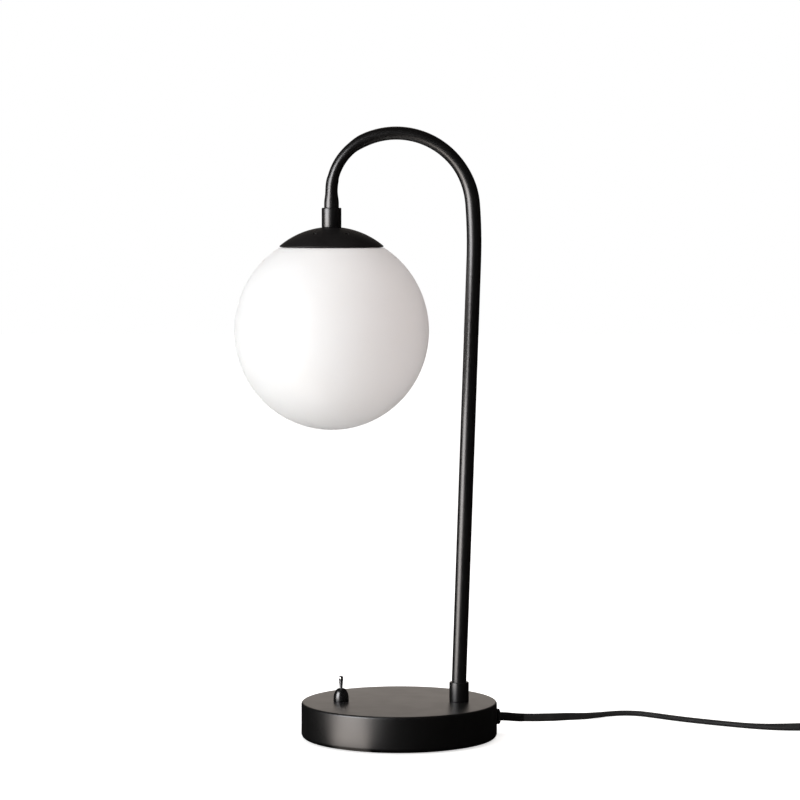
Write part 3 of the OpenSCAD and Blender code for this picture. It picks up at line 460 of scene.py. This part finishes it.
def make_finishes():
    return {
        "satin_black_steel": powder_coat("satin_black_steel", (0.0014, 0.0013, 0.0013), 0.37, 0.9),
        "black_tube": powder_coat("black_tube", (0.0022, 0.002, 0.002), 0.35, 1.0),
        "matte_black_cap": powder_coat("matte_black_cap", (0.007, 0.0062, 0.0062), 0.6, 0.22),
        "black_nickel": black_nickel(),
        "chrome_lever": polished_chrome("chrome_lever", (0.85, 0.85, 0.86), 0.2),
        "zinc_steel": plated_steel("zinc_steel", (0.6, 0.6, 0.61), 0.32),
        "spring_steel": plated_steel("spring_steel", (0.66, 0.66, 0.67), 0.24),
        "turned_brass": turned_brass(),
        "cast_iron": cast_iron(),
        "opal_glass": opal_glass(),
        "frosted_glass": frosted_glass(),
        "plain_aluminium": drawn_aluminium(),
        "black_thermoplastic": moulding("black_thermoplastic", (0.02, 0.02, 0.02), 0.45),
        "glazed_ceramic": glazed_ceramic(),
        "phenolic_red": moulding("phenolic_red", (0.28, 0.045, 0.03), 0.3, 600, 0.00002),
        "terminal_white": moulding("terminal_white", (0.82, 0.82, 0.79), 0.35, 700, 0.00003),
        "lead_insulation": lead_insulation(),
        "foam_pad": foam_rubber(),
        "cord_sheath": cord_sheath(),
        "moulded_pvc": moulding("moulded_pvc", (0.004, 0.004, 0.004), 0.5, 800, 0.00006),
        "nickel_pins": polished_chrome("nickel_pins", (0.7, 0.68, 0.64), 0.2),
    }


# Making pieces

SHARP = math.radians(32)
WELD = 0.000002
# Turns a shape's own Z axis to X
ALONG_X = Matrix.Rotation(math.radians(90), 4, "Y")


def piece(shape, name, slot, body=LAMP, stands_for=()):
    """The bmesh becomes an object that rides on a body and has its slot's finish."""
    bmesh.ops.remove_doubles(shape, verts=shape.verts, dist=WELD)
    bmesh.ops.recalc_face_normals(shape, faces=shape.faces)
    for face in shape.faces:
        face.smooth = True
    for edge in shape.edges:
        edge.smooth = len(edge.link_faces) == 2 and edge.calc_face_angle(0) < SHARP
    data = bpy.data.meshes.new(name)
    shape.to_mesh(data)
    shape.free()
    made = bpy.data.objects.new(name, data)
    bpy.context.collection.objects.link(made)
    data.materials.append(finishes[slot])
    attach(made, body)
    if stands_for:
        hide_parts(*stands_for)
    return made


def arc(centre, radius, start, end, steps=8):
    """Points of a round edge in the plane of radius and height, from one angle to another."""
    angles = [math.radians(start + (end - start) * i / steps) for i in range(steps + 1)]
    return [(centre[0] + radius * math.cos(a), centre[1] + radius * math.sin(a)) for a in angles]


def spun(outline, steps):
    """A closed outline of (radius, height), in millimetres, spun about the Z axis."""
    shape = bmesh.new()
    corners = [shape.verts.new((r * MM, 0, z * MM)) for r, z in outline]
    closed = zip(corners, corners[1:] + corners[:1])
    edges = [shape.edges.new(pair) for pair in closed if not all(abs(v.co.x) < 1e-7 for v in pair)]
    bmesh.ops.spin(shape, geom=corners + edges, axis=(0, 0, 1), cent=(0, 0, 0), angle=2 * math.pi,
                   steps=steps, use_merge=True)
    bmesh.ops.remove_doubles(shape, verts=shape.verts, dist=WELD)
    return shape


def put(shape, place, turn=None):
    """Moves a shape from its own axis to its place, in millimetres."""
    matrix = Matrix.Translation(Vector(place) * MM)
    if turn is not None:
        matrix = matrix @ turn
    bmesh.ops.transform(shape, matrix=matrix, verts=shape.verts)
    return shape


def swept(rings, closed=False):
    """A grid rolled up into a tube, with one row of corners on each ring of points, in metres."""
    sides, rows = len(rings[0]), len(rings)
    steps = rows if closed else rows - 1
    shape = bmesh.new()
    bmesh.ops.create_grid(shape, x_segments=sides, y_segments=steps, size=0.5)
    for corner in shape.verts:
        around_it = round((corner.co.x + 0.5) * sides) % sides
        along_it = round((corner.co.y + 0.5) * steps) % rows
        corner.co = rings[along_it][around_it]
    bmesh.ops.remove_doubles(shape, verts=shape.verts, dist=WELD)
    bmesh.ops.holes_fill(shape, edges=[e for e in shape.edges if e.is_boundary], sides=sides)
    return shape


def joined(*shapes):
    """Several shapes in one mesh."""
    whole = shapes[0]
    for other in shapes[1:]:
        data = bpy.data.meshes.new("part")
        other.to_mesh(data)
        other.free()
        whole.from_mesh(data)
        bpy.data.meshes.remove(data)
    return whole


def cut_by(shape, tools):
    """The shape less each tool shape."""
    blank = bpy.data.objects.new("blank", bpy.data.meshes.new("blank"))
    shape.to_mesh(blank.data)
    shape.free()
    bpy.context.collection.objects.link(blank)
    cutters = []
    for tool in tools:
        bmesh.ops.recalc_face_normals(tool, faces=tool.faces)
        cutter = bpy.data.objects.new("cutter", bpy.data.meshes.new("cutter"))
        tool.to_mesh(cutter.data)
        tool.free()
        bpy.context.collection.objects.link(cutter)
        step = blank.modifiers.new("cut", "BOOLEAN")
        step.operation = "DIFFERENCE"
        step.object = cutter
        cutters.append(cutter)
    depsgraph = bpy.context.evaluated_depsgraph_get()
    result = bmesh.new()
    result.from_mesh(blank.evaluated_get(depsgraph).to_mesh())
    for done in [blank] + cutters:
        data = done.data
        bpy.data.objects.remove(done)
        bpy.data.meshes.remove(data)
    return result


# The cord, in millimetres and degrees: the route's points are (x, y, height of its centre, twist)

CORD_W = 6.6
CORD_T = 4.15
CORD_AZ = math.radians(10)
CORD_Z = 15
SLEEVE_START = 83.85
SLEEVE_GRIP = 20
SLEEVE_DROP = 1.5
CORD_ROUTE = [
    (107, 18.8, 13.3, 90), (113, 20.6, 13, 90), (119, 23.7, 12.6, 87), (124.5, 28, 12, 82),
    (129, 33.4, 11.2, 75), (136.4, 44.3, 9.7, 62), (143.7, 55.7, 8, 50), (151.1, 67.3, 6.2, 38),
    (158.4, 78.6, 4.6, 26), (165, 88.4, 3.5, 15), (171.1, 96.4, 2.7, 6), (175.5, 100.9, 2.4, 0),
    (180.8, 104.5, 2.2, 0), (186.8, 106.8, 2.2, 0), (193.6, 107.6, 2.2, 0), (199.9, 106.7, 2.2, 0),
    (205.4, 104.6, 2.2, 0), (210.5, 101.2, 2.2, 0), (219.6, 93.4, 2.2, 0), (229.5, 84.6, 2.2, 0),
    (240.4, 75.7, 2.2, 0), (252.4, 67.1, 2.2, 0), (265.4, 58.6, 2.2, 0), (278.3, 50.6, 2.2, 0),
    (291, 43.7, 2.2, 4), (304, 38, 2.4, 16), (317, 33.5, 2.9, 34), (330, 30.4, 3.5, 54),
    (343, 28.6, 4, 72), (356, 28, 4.3, 86), (368.5, 28, 4.4, 90), (381, 28, 4.4, 90),
]
COIL_TURNS = 3
COIL_GAP = 0.6
COIL_R = 37.25
COIL_PITCH = CORD_T + COIL_GAP
LAYER_PITCH = CORD_W + COIL_GAP
COIL_OUT = COIL_R + COIL_PITCH * COIL_TURNS / 2
COIL_X = CORD_ROUTE[-1][0] + CORD_W
COIL_Y = CORD_ROUTE[-1][1] - COIL_OUT
COIL_Z = CORD_ROUTE[-1][2]
CLIMB = 0.5
SLEEVE_STEPS = 6
ROUTE_STEPS = 4
COIL_STEPS = 48
END_STEPS = 8
ON_EDGE = math.radians(90)
PLUG_X = 432
PLUG_Y = CORD_ROUTE[-1][1]
PLUG_T = 13.7
PLUG_W = 35.3
PLUG_L = 32
PLUG_Z = PLUG_T / 2
PLUG_RELIEF_L = 16


def along_outlet(distance, drop=0):
    return (distance * math.cos(CORD_AZ), distance * math.sin(CORD_AZ), CORD_Z - drop)


def eased(share):
    share = min(share, 1)
    return share * share * (3 - 2 * share)


def in_sleeve(share):
    """Centre of the cord in its sleeve, which sags a little from the grommet to its end."""
    return along_outlet(SLEEVE_START + SLEEVE_GRIP * share, SLEEVE_DROP * eased(share))


def between(p, q, r, t, s):
    """A Catmull-Rom value from q, where s is 0, to r, where it is 1."""
    square = (2 * p - 5 * q + 4 * r - t) * s * s
    cube = (3 * q - p - 3 * r + t) * s ** 3
    return 0.5 * (2 * q + (r - p) * s + square + cube)


def smooth_route(points, steps):
    """A smooth line through the points, each of their values by itself."""
    last = len(points) - 1
    out = []
    for i in range(last):
        near = (points[max(i - 1, 0)], points[i], points[i + 1], points[min(i + 2, last)])
        out += [tuple(between(*values, k / steps) for values in zip(*near)) for k in range(steps)]
    return out + [points[last]]


def coil_place(turns):
    """Centre of the coil's cord after a number of turns: in on the table, up, and out again on top."""
    radius = COIL_OUT - COIL_PITCH * (COIL_TURNS - abs(COIL_TURNS - turns))
    share = min(max((turns - COIL_TURNS + CLIMB / 2) / CLIMB, 0), 1)
    angle = math.radians(90 - 360 * turns)
    return (COIL_X + radius * math.cos(angle), COIL_Y + radius * math.sin(angle),
            COIL_Z + LAYER_PITCH * (1 - math.cos(math.pi * share)) / 2, 90)


def cord_line():
    """The whole cord as (x, y, z, twist), in millimetres, from the grommet to the plug."""
    sleeve = [(*in_sleeve(i / SLEEVE_STEPS), 90) for i in range(SLEEVE_STEPS)]
    run = smooth_route([(*in_sleeve(1), 90)] + CORD_ROUTE, ROUTE_STEPS)
    coil = [coil_place(i / COIL_STEPS) for i in range(2 * COIL_TURNS * COIL_STEPS + 1)]
    leave = (COIL_X + CORD_W, PLUG_Y, COIL_Z + LAYER_PITCH, 90)
    reach = PLUG_X - PLUG_RELIEF_L - leave[0]
    drop = leave[2] - PLUG_Z
    end = [(leave[0] + reach * i / END_STEPS, PLUG_Y,
            leave[2] - drop * (1 - math.cos(math.pi * i / END_STEPS)) / 2, 90)
           for i in range(1, END_STEPS + 1)]
    return sleeve + run + coil + [leave] + end


def cord_section():
    """Flat twin cord, w along the first axis: round edges and a shallow valley between its two cores."""
    valley_depth, valley_w = 0.3, 0.9
    return [(x, y - math.copysign(valley_depth * math.exp(-(x / valley_w) ** 2), y))
            for x, y in oval_section(CORD_W, CORD_T, 24)]


def oval_section(w, t, sides=32):
    flat = (w - t) / 2
    angles = [2 * math.pi * (k + 0.5) / sides for k in range(sides)]
    return [(math.copysign(flat, math.cos(a)) + t / 2 * math.cos(a), t / 2 * math.sin(a)) for a in angles]


def ring_along(centre, direction, twist, section):
    """The section set square to the cord, turned by twist from lying flat."""
    level = Vector((0, 0, 1)).cross(direction).normalized()
    up = direction.cross(level)
    across = math.cos(twist) * level + math.sin(twist) * up
    thin = direction.cross(across)
    return [(centre + across * x + thin * y) * MM for x, y in section]


def make_cord():
    line = cord_line()
    section = cord_section()
    rings = []
    for i, p in enumerate(line):
        before, after = line[max(i - 1, 0)], line[min(i + 1, len(line) - 1)]
        direction = Vector(after[:3]) - Vector(before[:3])
        rings.append(ring_along(Vector(p[:3]), direction.normalized(), math.radians(p[3]), section))
    cord = piece(swept(rings), "mains_cord", "cord_sheath", stands_for=("cord_run", "cord_coil", "cord_end"))
    return cord, [[c * MM for c in p[:3]] for p in line]


def make_plug():
    """Flat two-pin plug: a moulded body, a ribbed relief and pins with half sleeves."""
    return [
        piece(plug_body(), "plug_moulding", "moulded_pvc", stands_for=("plug_body",)),
        piece(plug_relief(), "plug_strain_relief", "moulded_pvc", stands_for=("plug_relief",)),
        piece(plug_pins(), "plug_pin_pair", "nickel_pins", stands_for=("plug_pins",)),
        piece(pin_sleeves(), "plug_pin_sleeves", "moulded_pvc"),
    ]


def plug_body():
    """A flat body that widens to its face, with rounded edges and a finger dent on each side of each half."""
    half, rear, edge = PLUG_W / 2, 7.5, 2.2
    side = [(0, rear), (9, rear + 3), (PLUG_L - 12, half), (PLUG_L, half)]
    outline = side + [(x, -y) for x, y in reversed(side)]
    shape = bmesh.new()
    face = shape.faces.new([shape.verts.new((x * MM, y * MM, 0)) for x, y in outline])
    grown = bmesh.ops.extrude_face_region(shape, geom=[face])["geom"]
    lifted = [g for g in grown if isinstance(g, bmesh.types.BMVert)]
    bmesh.ops.translate(shape, verts=lifted, vec=(0, 0, PLUG_T * MM))
    bmesh.ops.recalc_face_normals(shape, faces=shape.faces)
    bmesh.ops.bevel(shape, geom=list(shape.edges), offset=edge * MM, affect="EDGES", segments=5, profile=0.5,
                    material=-1)
    dent_x, dent_y, dent_above = PLUG_L * 0.42, PLUG_W * 0.19, 0.6
    heights = (-dent_above, PLUG_T + dent_above)
    dents = [put(dent(), (dent_x, y, z)) for y in (dent_y, -dent_y) for z in heights]
    return put(cut_by(shape, dents), (PLUG_X, PLUG_Y, 0))


def dent():
    """A shallow finger dent, as the tool that cuts it."""
    shape = bmesh.new()
    bmesh.ops.create_uvsphere(shape, u_segments=32, v_segments=16, radius=1)
    bmesh.ops.scale(shape, vec=(6 * MM, 4.5 * MM, 1.5 * MM), verts=shape.verts)
    return shape


def plug_relief():
    """Ribs behind the plug that grow smaller towards the cord."""
    ribs, steps_a_rib, rib_h, taper_by = 5, 4, 0.9, 0.28
    rings = []
    for i in range(ribs * steps_a_rib + 1):
        share = i / (ribs * steps_a_rib)
        groove = 0.0 if i % steps_a_rib in (0, 1) else rib_h
        taper = 1 - taper_by * share
        section = oval_section((CORD_W + 3) * taper - groove, (CORD_T + 2.6) * taper - groove)
        centre = Vector((PLUG_X - PLUG_RELIEF_L * share, PLUG_Y, PLUG_Z))
        rings.append(ring_along(centre, Vector((-1, 0, 0)), ON_EDGE, section))
    return swept(rings)


PIN_L = 19
PIN_R = 2
PIN_GAP = 18.6
PIN_SLEEVE_L = 10


def on_pins(outline):
    """The outline spun about each pin's axis."""
    places = [(PLUG_X + PLUG_L, PLUG_Y + side * PIN_GAP / 2, PLUG_Z) for side in (-1, 1)]
    return joined(*[put(spun(outline, 32), place, ALONG_X) for place in places])


def plug_pins():
    """Pins with a round tip, thinner where their sleeves are."""
    in_sleeve_r, root = PIN_R - 0.25, -1
    return on_pins([(0, root), (in_sleeve_r, root), (in_sleeve_r, PIN_SLEEVE_L), (PIN_R, PIN_SLEEVE_L)]
                   + arc((PIN_R - 1, PIN_L - 1), 1, 0, 90) + [(0, PIN_L)])


def pin_sleeves():
    inner, root, top = PIN_R - 0.2, -0.5, PIN_SLEEVE_L - 0.1
    return on_pins([(inner, root), (PIN_R, root), (PIN_R, top), (inner, top)])


def make_tie():
    """A flat strap round one side of the coil."""
    low, high = (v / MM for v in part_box("cord_tie"))
    wide, thick, play, corner = 8, 0.8, 0.3, 1.6
    steps = 5
    inner = COIL_OUT - COIL_PITCH * COIL_TURNS - CORD_T / 2 - play - thick
    outer = COIL_OUT + CORD_T / 2 + play + thick
    loop = []
    for x, z, start in ((outer, high.z, 0), (inner, high.z, 90), (inner, low.z, 180), (outer, low.z, 270)):
        centre = (x - corner if x == outer else x + corner, z - corner if z == high.z else z + corner)
        points = arc(centre, corner, start, start + 90, steps)
        loop += [(p, start + 90 * i / steps) for i, p in enumerate(points)]
    rings = []
    for (x, z), angle in loop:
        out = Vector((math.cos(math.radians(angle)), 0, math.sin(math.radians(angle))))
        edge = Vector((x, 0, z))
        rings.append([(edge + out * t + Vector((0, y, 0))) * MM for y, t in strap_section(wide, thick)])
    turn = Matrix.Rotation(math.radians(-60), 4, "Z")
    shape = put(swept(rings, closed=True), (COIL_X, COIL_Y, 0), turn)
    return piece(shape, "coil_strap", "black_thermoplastic", stands_for=("cord_tie",))


def strap_section(wide, thick):
    """Across the strap and inwards from its outer face, with slightly round edges."""
    e = 0.25
    h = wide / 2
    return [(-h + e, 0), (h - e, 0), (h, -e), (h, -thick + e),
            (h - e, -thick), (-h + e, -thick), (-h, -thick + e), (-h, -e)]


# Base, stem and head


def make_base():
    low, high = (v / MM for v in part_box("base_housing"))
    r, wall, top_r, foot_r, lip = high.x, 1.5, 2.0, 3.5, 5.5
    inside, inside_r = r - wall, 0.5
    outline = [(0, high.z)] + arc((r - top_r, high.z - top_r), top_r, 90, 0, 10)
    outline += arc((r - foot_r, low.z + foot_r), foot_r, 0, -90, 12)
    outline += [(r - lip, low.z), (r - lip, low.z + wall)]
    outline += arc((r - foot_r, low.z + foot_r), foot_r - wall, -90, 0, 8)
    outline += arc((inside - inside_r, high.z - wall - inside_r), inside_r, 0, 90, 4) + [(0, high.z - wall)]
    piece(spun(outline, 192), "base_spun_housing", "satin_black_steel", stands_for=("base_housing",))


TUBE_D = 12
TUBE_WALL = 1
FOOT = (49, 32)
TUBE_PATH = [(14,), (150, -1.93), (339.25,), (410, 6.4), (62, 110.5), (45.5, 49.03), (45.5, 16), (27.2,)]
# The tube's thickness in the plane of its bend in each stretch, as a share of its diameter
TUBE_FLAT = [1, 1, 1, 1, 0.89, 0.77, 0.839, 1]
FLAT_RUN = 0.35
FLAT_SPREAD = 0.35


def stem_stations():
    """Places along the tube's path: (x, z, direction in degrees from +Z, stretch, share behind)."""
    x, z = FOOT
    heading = 0.0
    out = [(x, z, heading, 0, 0.0)]
    for number, stretch in enumerate(TUBE_PATH):
        a = math.radians(heading)
        if len(stretch) == 1:
            length = stretch[0]
            parts = max(1, round(length / (12 if length > 40 else 2)))
            for i in range(1, parts + 1):
                way = length * i / parts
                out.append((x + way * math.sin(a), z + way * math.cos(a), heading, number, i / parts))
        else:
            radius, turn = stretch
            parts = max(2, math.ceil(abs(turn) / (0.8 if radius > 100 else 2.5)))
            side = 1 if turn > 0 else -1
            for i in range(1, parts + 1):
                here = heading - turn * i / parts
                b = math.radians(here)
                across = side * radius * (math.cos(a) - math.cos(b))
                up = side * radius * (math.sin(a) - math.sin(b))
                out.append((x - across, z + up, here, number, i / parts))
        x, z, heading = out[-1][:3]
    return out


def flatness(number, share):
    """Each stretch eases from the thickness of the one before into its own over its first part."""
    before = TUBE_FLAT[max(number - 1, 0)]
    return before + (TUBE_FLAT[number] - before) * eased(share / FLAT_RUN)


def make_stem():
    sides = 48
    skin, bore = [], []
    for x, z, heading, number, share in stem_stations():
        a = math.radians(heading)
        across = Vector((math.cos(a), 0, -math.sin(a)))
        flat = flatness(number, share)
        thick = TUBE_D / 2 * flat
        wide = TUBE_D / 2 * (1 + FLAT_SPREAD * (1 - flat))
        for less, out in ((0, skin), (TUBE_WALL, bore)):
            out.append([(Vector((x, 0, z)) + across * (thick - less) * math.cos(t)
                         + Vector((0, 1, 0)) * (wide - less) * math.sin(t)) * MM
                        for t in [2 * math.pi * k / sides for k in range(sides)]])
    tube = swept(skin + bore[::-1], closed=True)
    piece(tube, "stem_bent_tube", "black_tube", stands_for=("stem_tube",))


NIPPLE_BORE = 5.2


def make_collar(name, node):
    low, high = (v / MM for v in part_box(node))
    centre = (low + high) / 2
    r, h, seat, floor, foot_r, top_r = (high.x - low.x) / 2, high.z - low.z, 6.05, 2, 0.35, 0.9
    outline = [(NIPPLE_BORE, 0), (r - foot_r, 0)] + arc((r - foot_r, foot_r), foot_r, -90, 0, 3)
    outline += arc((r - top_r, h - top_r), top_r, 0, 90, 6) + [(seat, h), (seat, floor), (NIPPLE_BORE, floor)]
    piece(put(spun(outline, 72), (centre.x, 0, low.z)), name, "black_tube", stands_for=(node,))


DOME_R = 65.4
CAP_T = 1.2
CAP_LAND = 8.5
VENTS = 6
VENT_D = 3
VENT_R = 26


def dome_centre(cap_top):
    """Height of the middle of the cap's dome, whose flat land is its top."""
    return cap_top - math.sqrt(DOME_R ** 2 - CAP_LAND ** 2)


def make_cap():
    low, high = (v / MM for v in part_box("globe_cap"))
    x = (low.x + high.x) / 2
    rim = (high.x - low.x) / 2
    edge = 0.35
    dome_z = dome_centre(high.z)
    lip_angle = math.degrees(math.acos(rim / DOME_R))
    inner_angle = math.degrees(math.acos((rim - CAP_T) / (DOME_R - CAP_T)))
    land_angle = math.degrees(math.acos(CAP_LAND / DOME_R))
    inner_land = math.degrees(math.asin((high.z - CAP_T - dome_z) / (DOME_R - CAP_T)))
    outline = [(NIPPLE_BORE, high.z)] + arc((0, dome_z), DOME_R, land_angle, lip_angle, 36)
    outline += arc((rim - edge, low.z + edge), edge, 0, -90, 4) + [(rim - CAP_T, low.z)]
    outline += arc((0, dome_z), DOME_R - CAP_T, inner_angle, inner_land, 30)
    outline += [(NIPPLE_BORE, high.z - CAP_T)]
    vents = []
    hole_r = VENT_D / 2 * MM
    for i in range(VENTS):
        hole = bmesh.new()
        bmesh.ops.create_cone(hole, cap_ends=True, segments=32, radius1=hole_r, radius2=hole_r, depth=30 * MM)
        angle = math.radians(360 * i / VENTS)
        vents.append(put(hole, (VENT_R * math.cos(angle), VENT_R * math.sin(angle), (low.z + high.z) / 2)))
    cap = cut_by(spun(outline, 144), vents)
    piece(put(cap, (x, 0, 0)), "globe_spun_cap", "matte_black_cap", stands_for=("globe_cap",))


GLOBE_R = 79
GLOBE_HZ = 80.3
GLASS_T = 3
RIM_GAP = 0.6
NECK_H = 3
NECK_EDGE = 0.6
SHOULDER_OUT = 0.6


def make_globe():
    cap_low, cap_high = (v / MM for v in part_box("globe_cap"))
    low, high = (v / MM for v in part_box("globe"))
    cap_r = (cap_high.x - cap_low.x) / 2
    shoulder_r = cap_r + SHOULDER_OUT
    shoulder_z = cap_low.z - RIM_GAP
    centre_z = low.z + GLOBE_HZ
    neck_top = shoulder_z + NECK_H
    dome_z = dome_centre(cap_high.z)
    under_dome = math.sqrt((DOME_R - CAP_T) ** 2 - (neck_top - dome_z) ** 2)
    neck_r = min(cap_r - CAP_T, under_dome) - 0.5
    neck_in = neck_r - GLASS_T
    outline = [(neck_in, neck_top - NECK_EDGE), (neck_in + NECK_EDGE, neck_top),
               (neck_r - NECK_EDGE, neck_top), (neck_r, neck_top - NECK_EDGE),
               (neck_r, shoulder_z + 0.9), (neck_r + 0.5, shoulder_z + 0.5),
               ((neck_r + shoulder_r) / 2, shoulder_z + 0.25)]
    for inside, start_r in ((False, shoulder_r), (True, neck_in)):
        r = GLOBE_R - GLASS_T * inside
        h = GLOBE_HZ - GLASS_T * inside
        start = math.degrees(math.acos(start_r / r))
        ring = [(r * math.cos(math.radians(a)), centre_z + h * math.sin(math.radians(a)))
                for a in [start - (start + 90) * i / 72 for i in range(73)]]
        ring[-1] = (0, ring[-1][1])
        outline += ring[::-1] if inside else ring
    x = (low.x + high.x) / 2
    piece(put(spun(outline, 160), (x, 0, 0)), "globe_opal_glass", "opal_glass", stands_for=("globe",))


# Switch and outlet

NUT_D = 12.5
NUT_H = 10.3
LEVER_LEAN = math.radians(12.5)


def make_nut():
    """Egg-shaped nut, widest a fifth of the way up, with a round mouth for the lever."""
    low, high = (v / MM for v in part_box("switch_dome_nut"))
    widest = NUT_H * 0.2
    full = NUT_H * 1.12 - widest
    r, foot, bore, mouth, mouth_depth = NUT_D / 2, 0.35, 3.05, 2.75, 2.6
    heights = [widest + (NUT_H - 0.25 - widest) * i / 24 for i in range(25)]
    outline = [(bore, 0), (r - foot, 0)] + arc((r - foot, foot), foot, -90, 0, 4)
    outline += [(r * math.sqrt(1 - ((z - widest) / full) ** 2), z) for z in heights]
    outline += [(mouth + 0.2, NUT_H), (mouth, NUT_H - 0.15)]
    outline += [(mouth, NUT_H - mouth_depth), (bore, NUT_H - mouth_depth)]
    shape = put(spun(outline, 72), ((low.x + high.x) / 2, 0, low.z))
    piece(shape, "switch_egg_nut", "black_nickel", stands_for=("switch_dome_nut",))


def make_lever():
    """Bat lever on its ball, thicker towards its round end and leaning to the front at rest."""
    pivot = Vector(next(j for j in frame["joints"] if j["name"] == "switch_toggle")["pos_m"]) / MM
    tip, neck, end, ball, tail = 15.4, 1.15, 1.85, 2.3, 0.8
    outline = [(0, -6), (tail, -6), (tail, -2.15)] + arc((0, 0), ball, -68, 58, 14)
    outline += [(neck + 0.02, 2.4), (neck + 0.05, 3.2), (1.3, 6), (1.55, 9.5), (1.78, 12)]
    outline += arc((0, tip - end), end, 0, 90, 10)
    shape = put(spun(outline, 48), pivot, Matrix.Rotation(LEVER_LEAN, 4, "X"))
    piece(shape, "switch_bat_lever", "chrome_lever", LEVER, ("switch_lever",))


FLANGE_T = 2.8


def make_outlet():
    """Both pieces at the cord's outlet: the grommet and the strain relief."""
    return [make_grommet(), make_sleeve()]


def make_grommet():
    """A round flange with a neck through the housing's wall and a lock inside it, open for the cord."""
    flange_r, edge, neck_r, lock_r = 6.45, 1.1, 4.5, 5.4
    wall_inside, lock_end = -2.95, -8.5
    outline = [(0, lock_end), (lock_r, lock_end), (lock_r, wall_inside), (neck_r, wall_inside), (neck_r, 0)]
    outline += arc((flange_r - edge, edge), edge, -90, 0, 6)
    outline += arc((flange_r - edge, FLANGE_T - edge), edge, 0, 90, 6) + [(0, FLANGE_T)]
    cord_hole = oval_section(CORD_W + 0.1, CORD_T + 0.1)
    rings = [[Vector((y, x, z)) * MM for x, y in cord_hole] for z in (-12, 8)]
    flange = cut_by(spun(outline, 72), [swept(rings)])
    turn = Matrix.Rotation(CORD_AZ, 4, "Z") @ ALONG_X
    shape = put(flange, along_outlet(SLEEVE_START - FLANGE_T), turn)
    return piece(shape, "cord_outlet_grommet", "moulded_pvc", stands_for=("cord_grommet",))


def make_sleeve():
    """The strain relief: it grips the cord from the flange on, thinner towards its rounded end."""
    steps = 16
    rings = []
    for i in range(steps + 1):
        share = i / steps
        grow = 0.5 - 0.3 * share - 0.15 * eased(max(share - 0.9, 0) * 10)
        here, ahead = Vector(in_sleeve(share)), Vector(in_sleeve(min(share + 0.02, 1)))
        back = Vector(in_sleeve(max(share - 0.02, 0)))
        section = oval_section(CORD_W + grow, CORD_T + grow)
        rings.append(ring_along(here, (ahead - back).normalized(), ON_EDGE, section))
    return piece(swept(rings), "cord_strain_sleeve", "moulded_pvc", stands_for=("cord_sleeve",))


def finish_cad_nodes():
    """The pieces that keep their own solid get their slot's finish."""
    for part in frame["record"]["subparts"]:
        shown = frame["nodes"][part["node"]]
        shown.data.materials.clear()
        shown.data.materials.append(finishes[part["material_slot"]])


make_camera()
make_floor()
make_world()
make_lights()
finishes = make_finishes()
finish_cad_nodes()
cord, cord_path = make_cord()
plug_pieces = make_plug()
strap = make_tie()
outlet_pieces = make_outlet()
make_base()
make_stem()
make_collar("stem_collar_lower", "lower_collar")
make_collar("stem_collar_upper", "upper_collar")
make_cap()
make_globe()
make_nut()
make_lever()
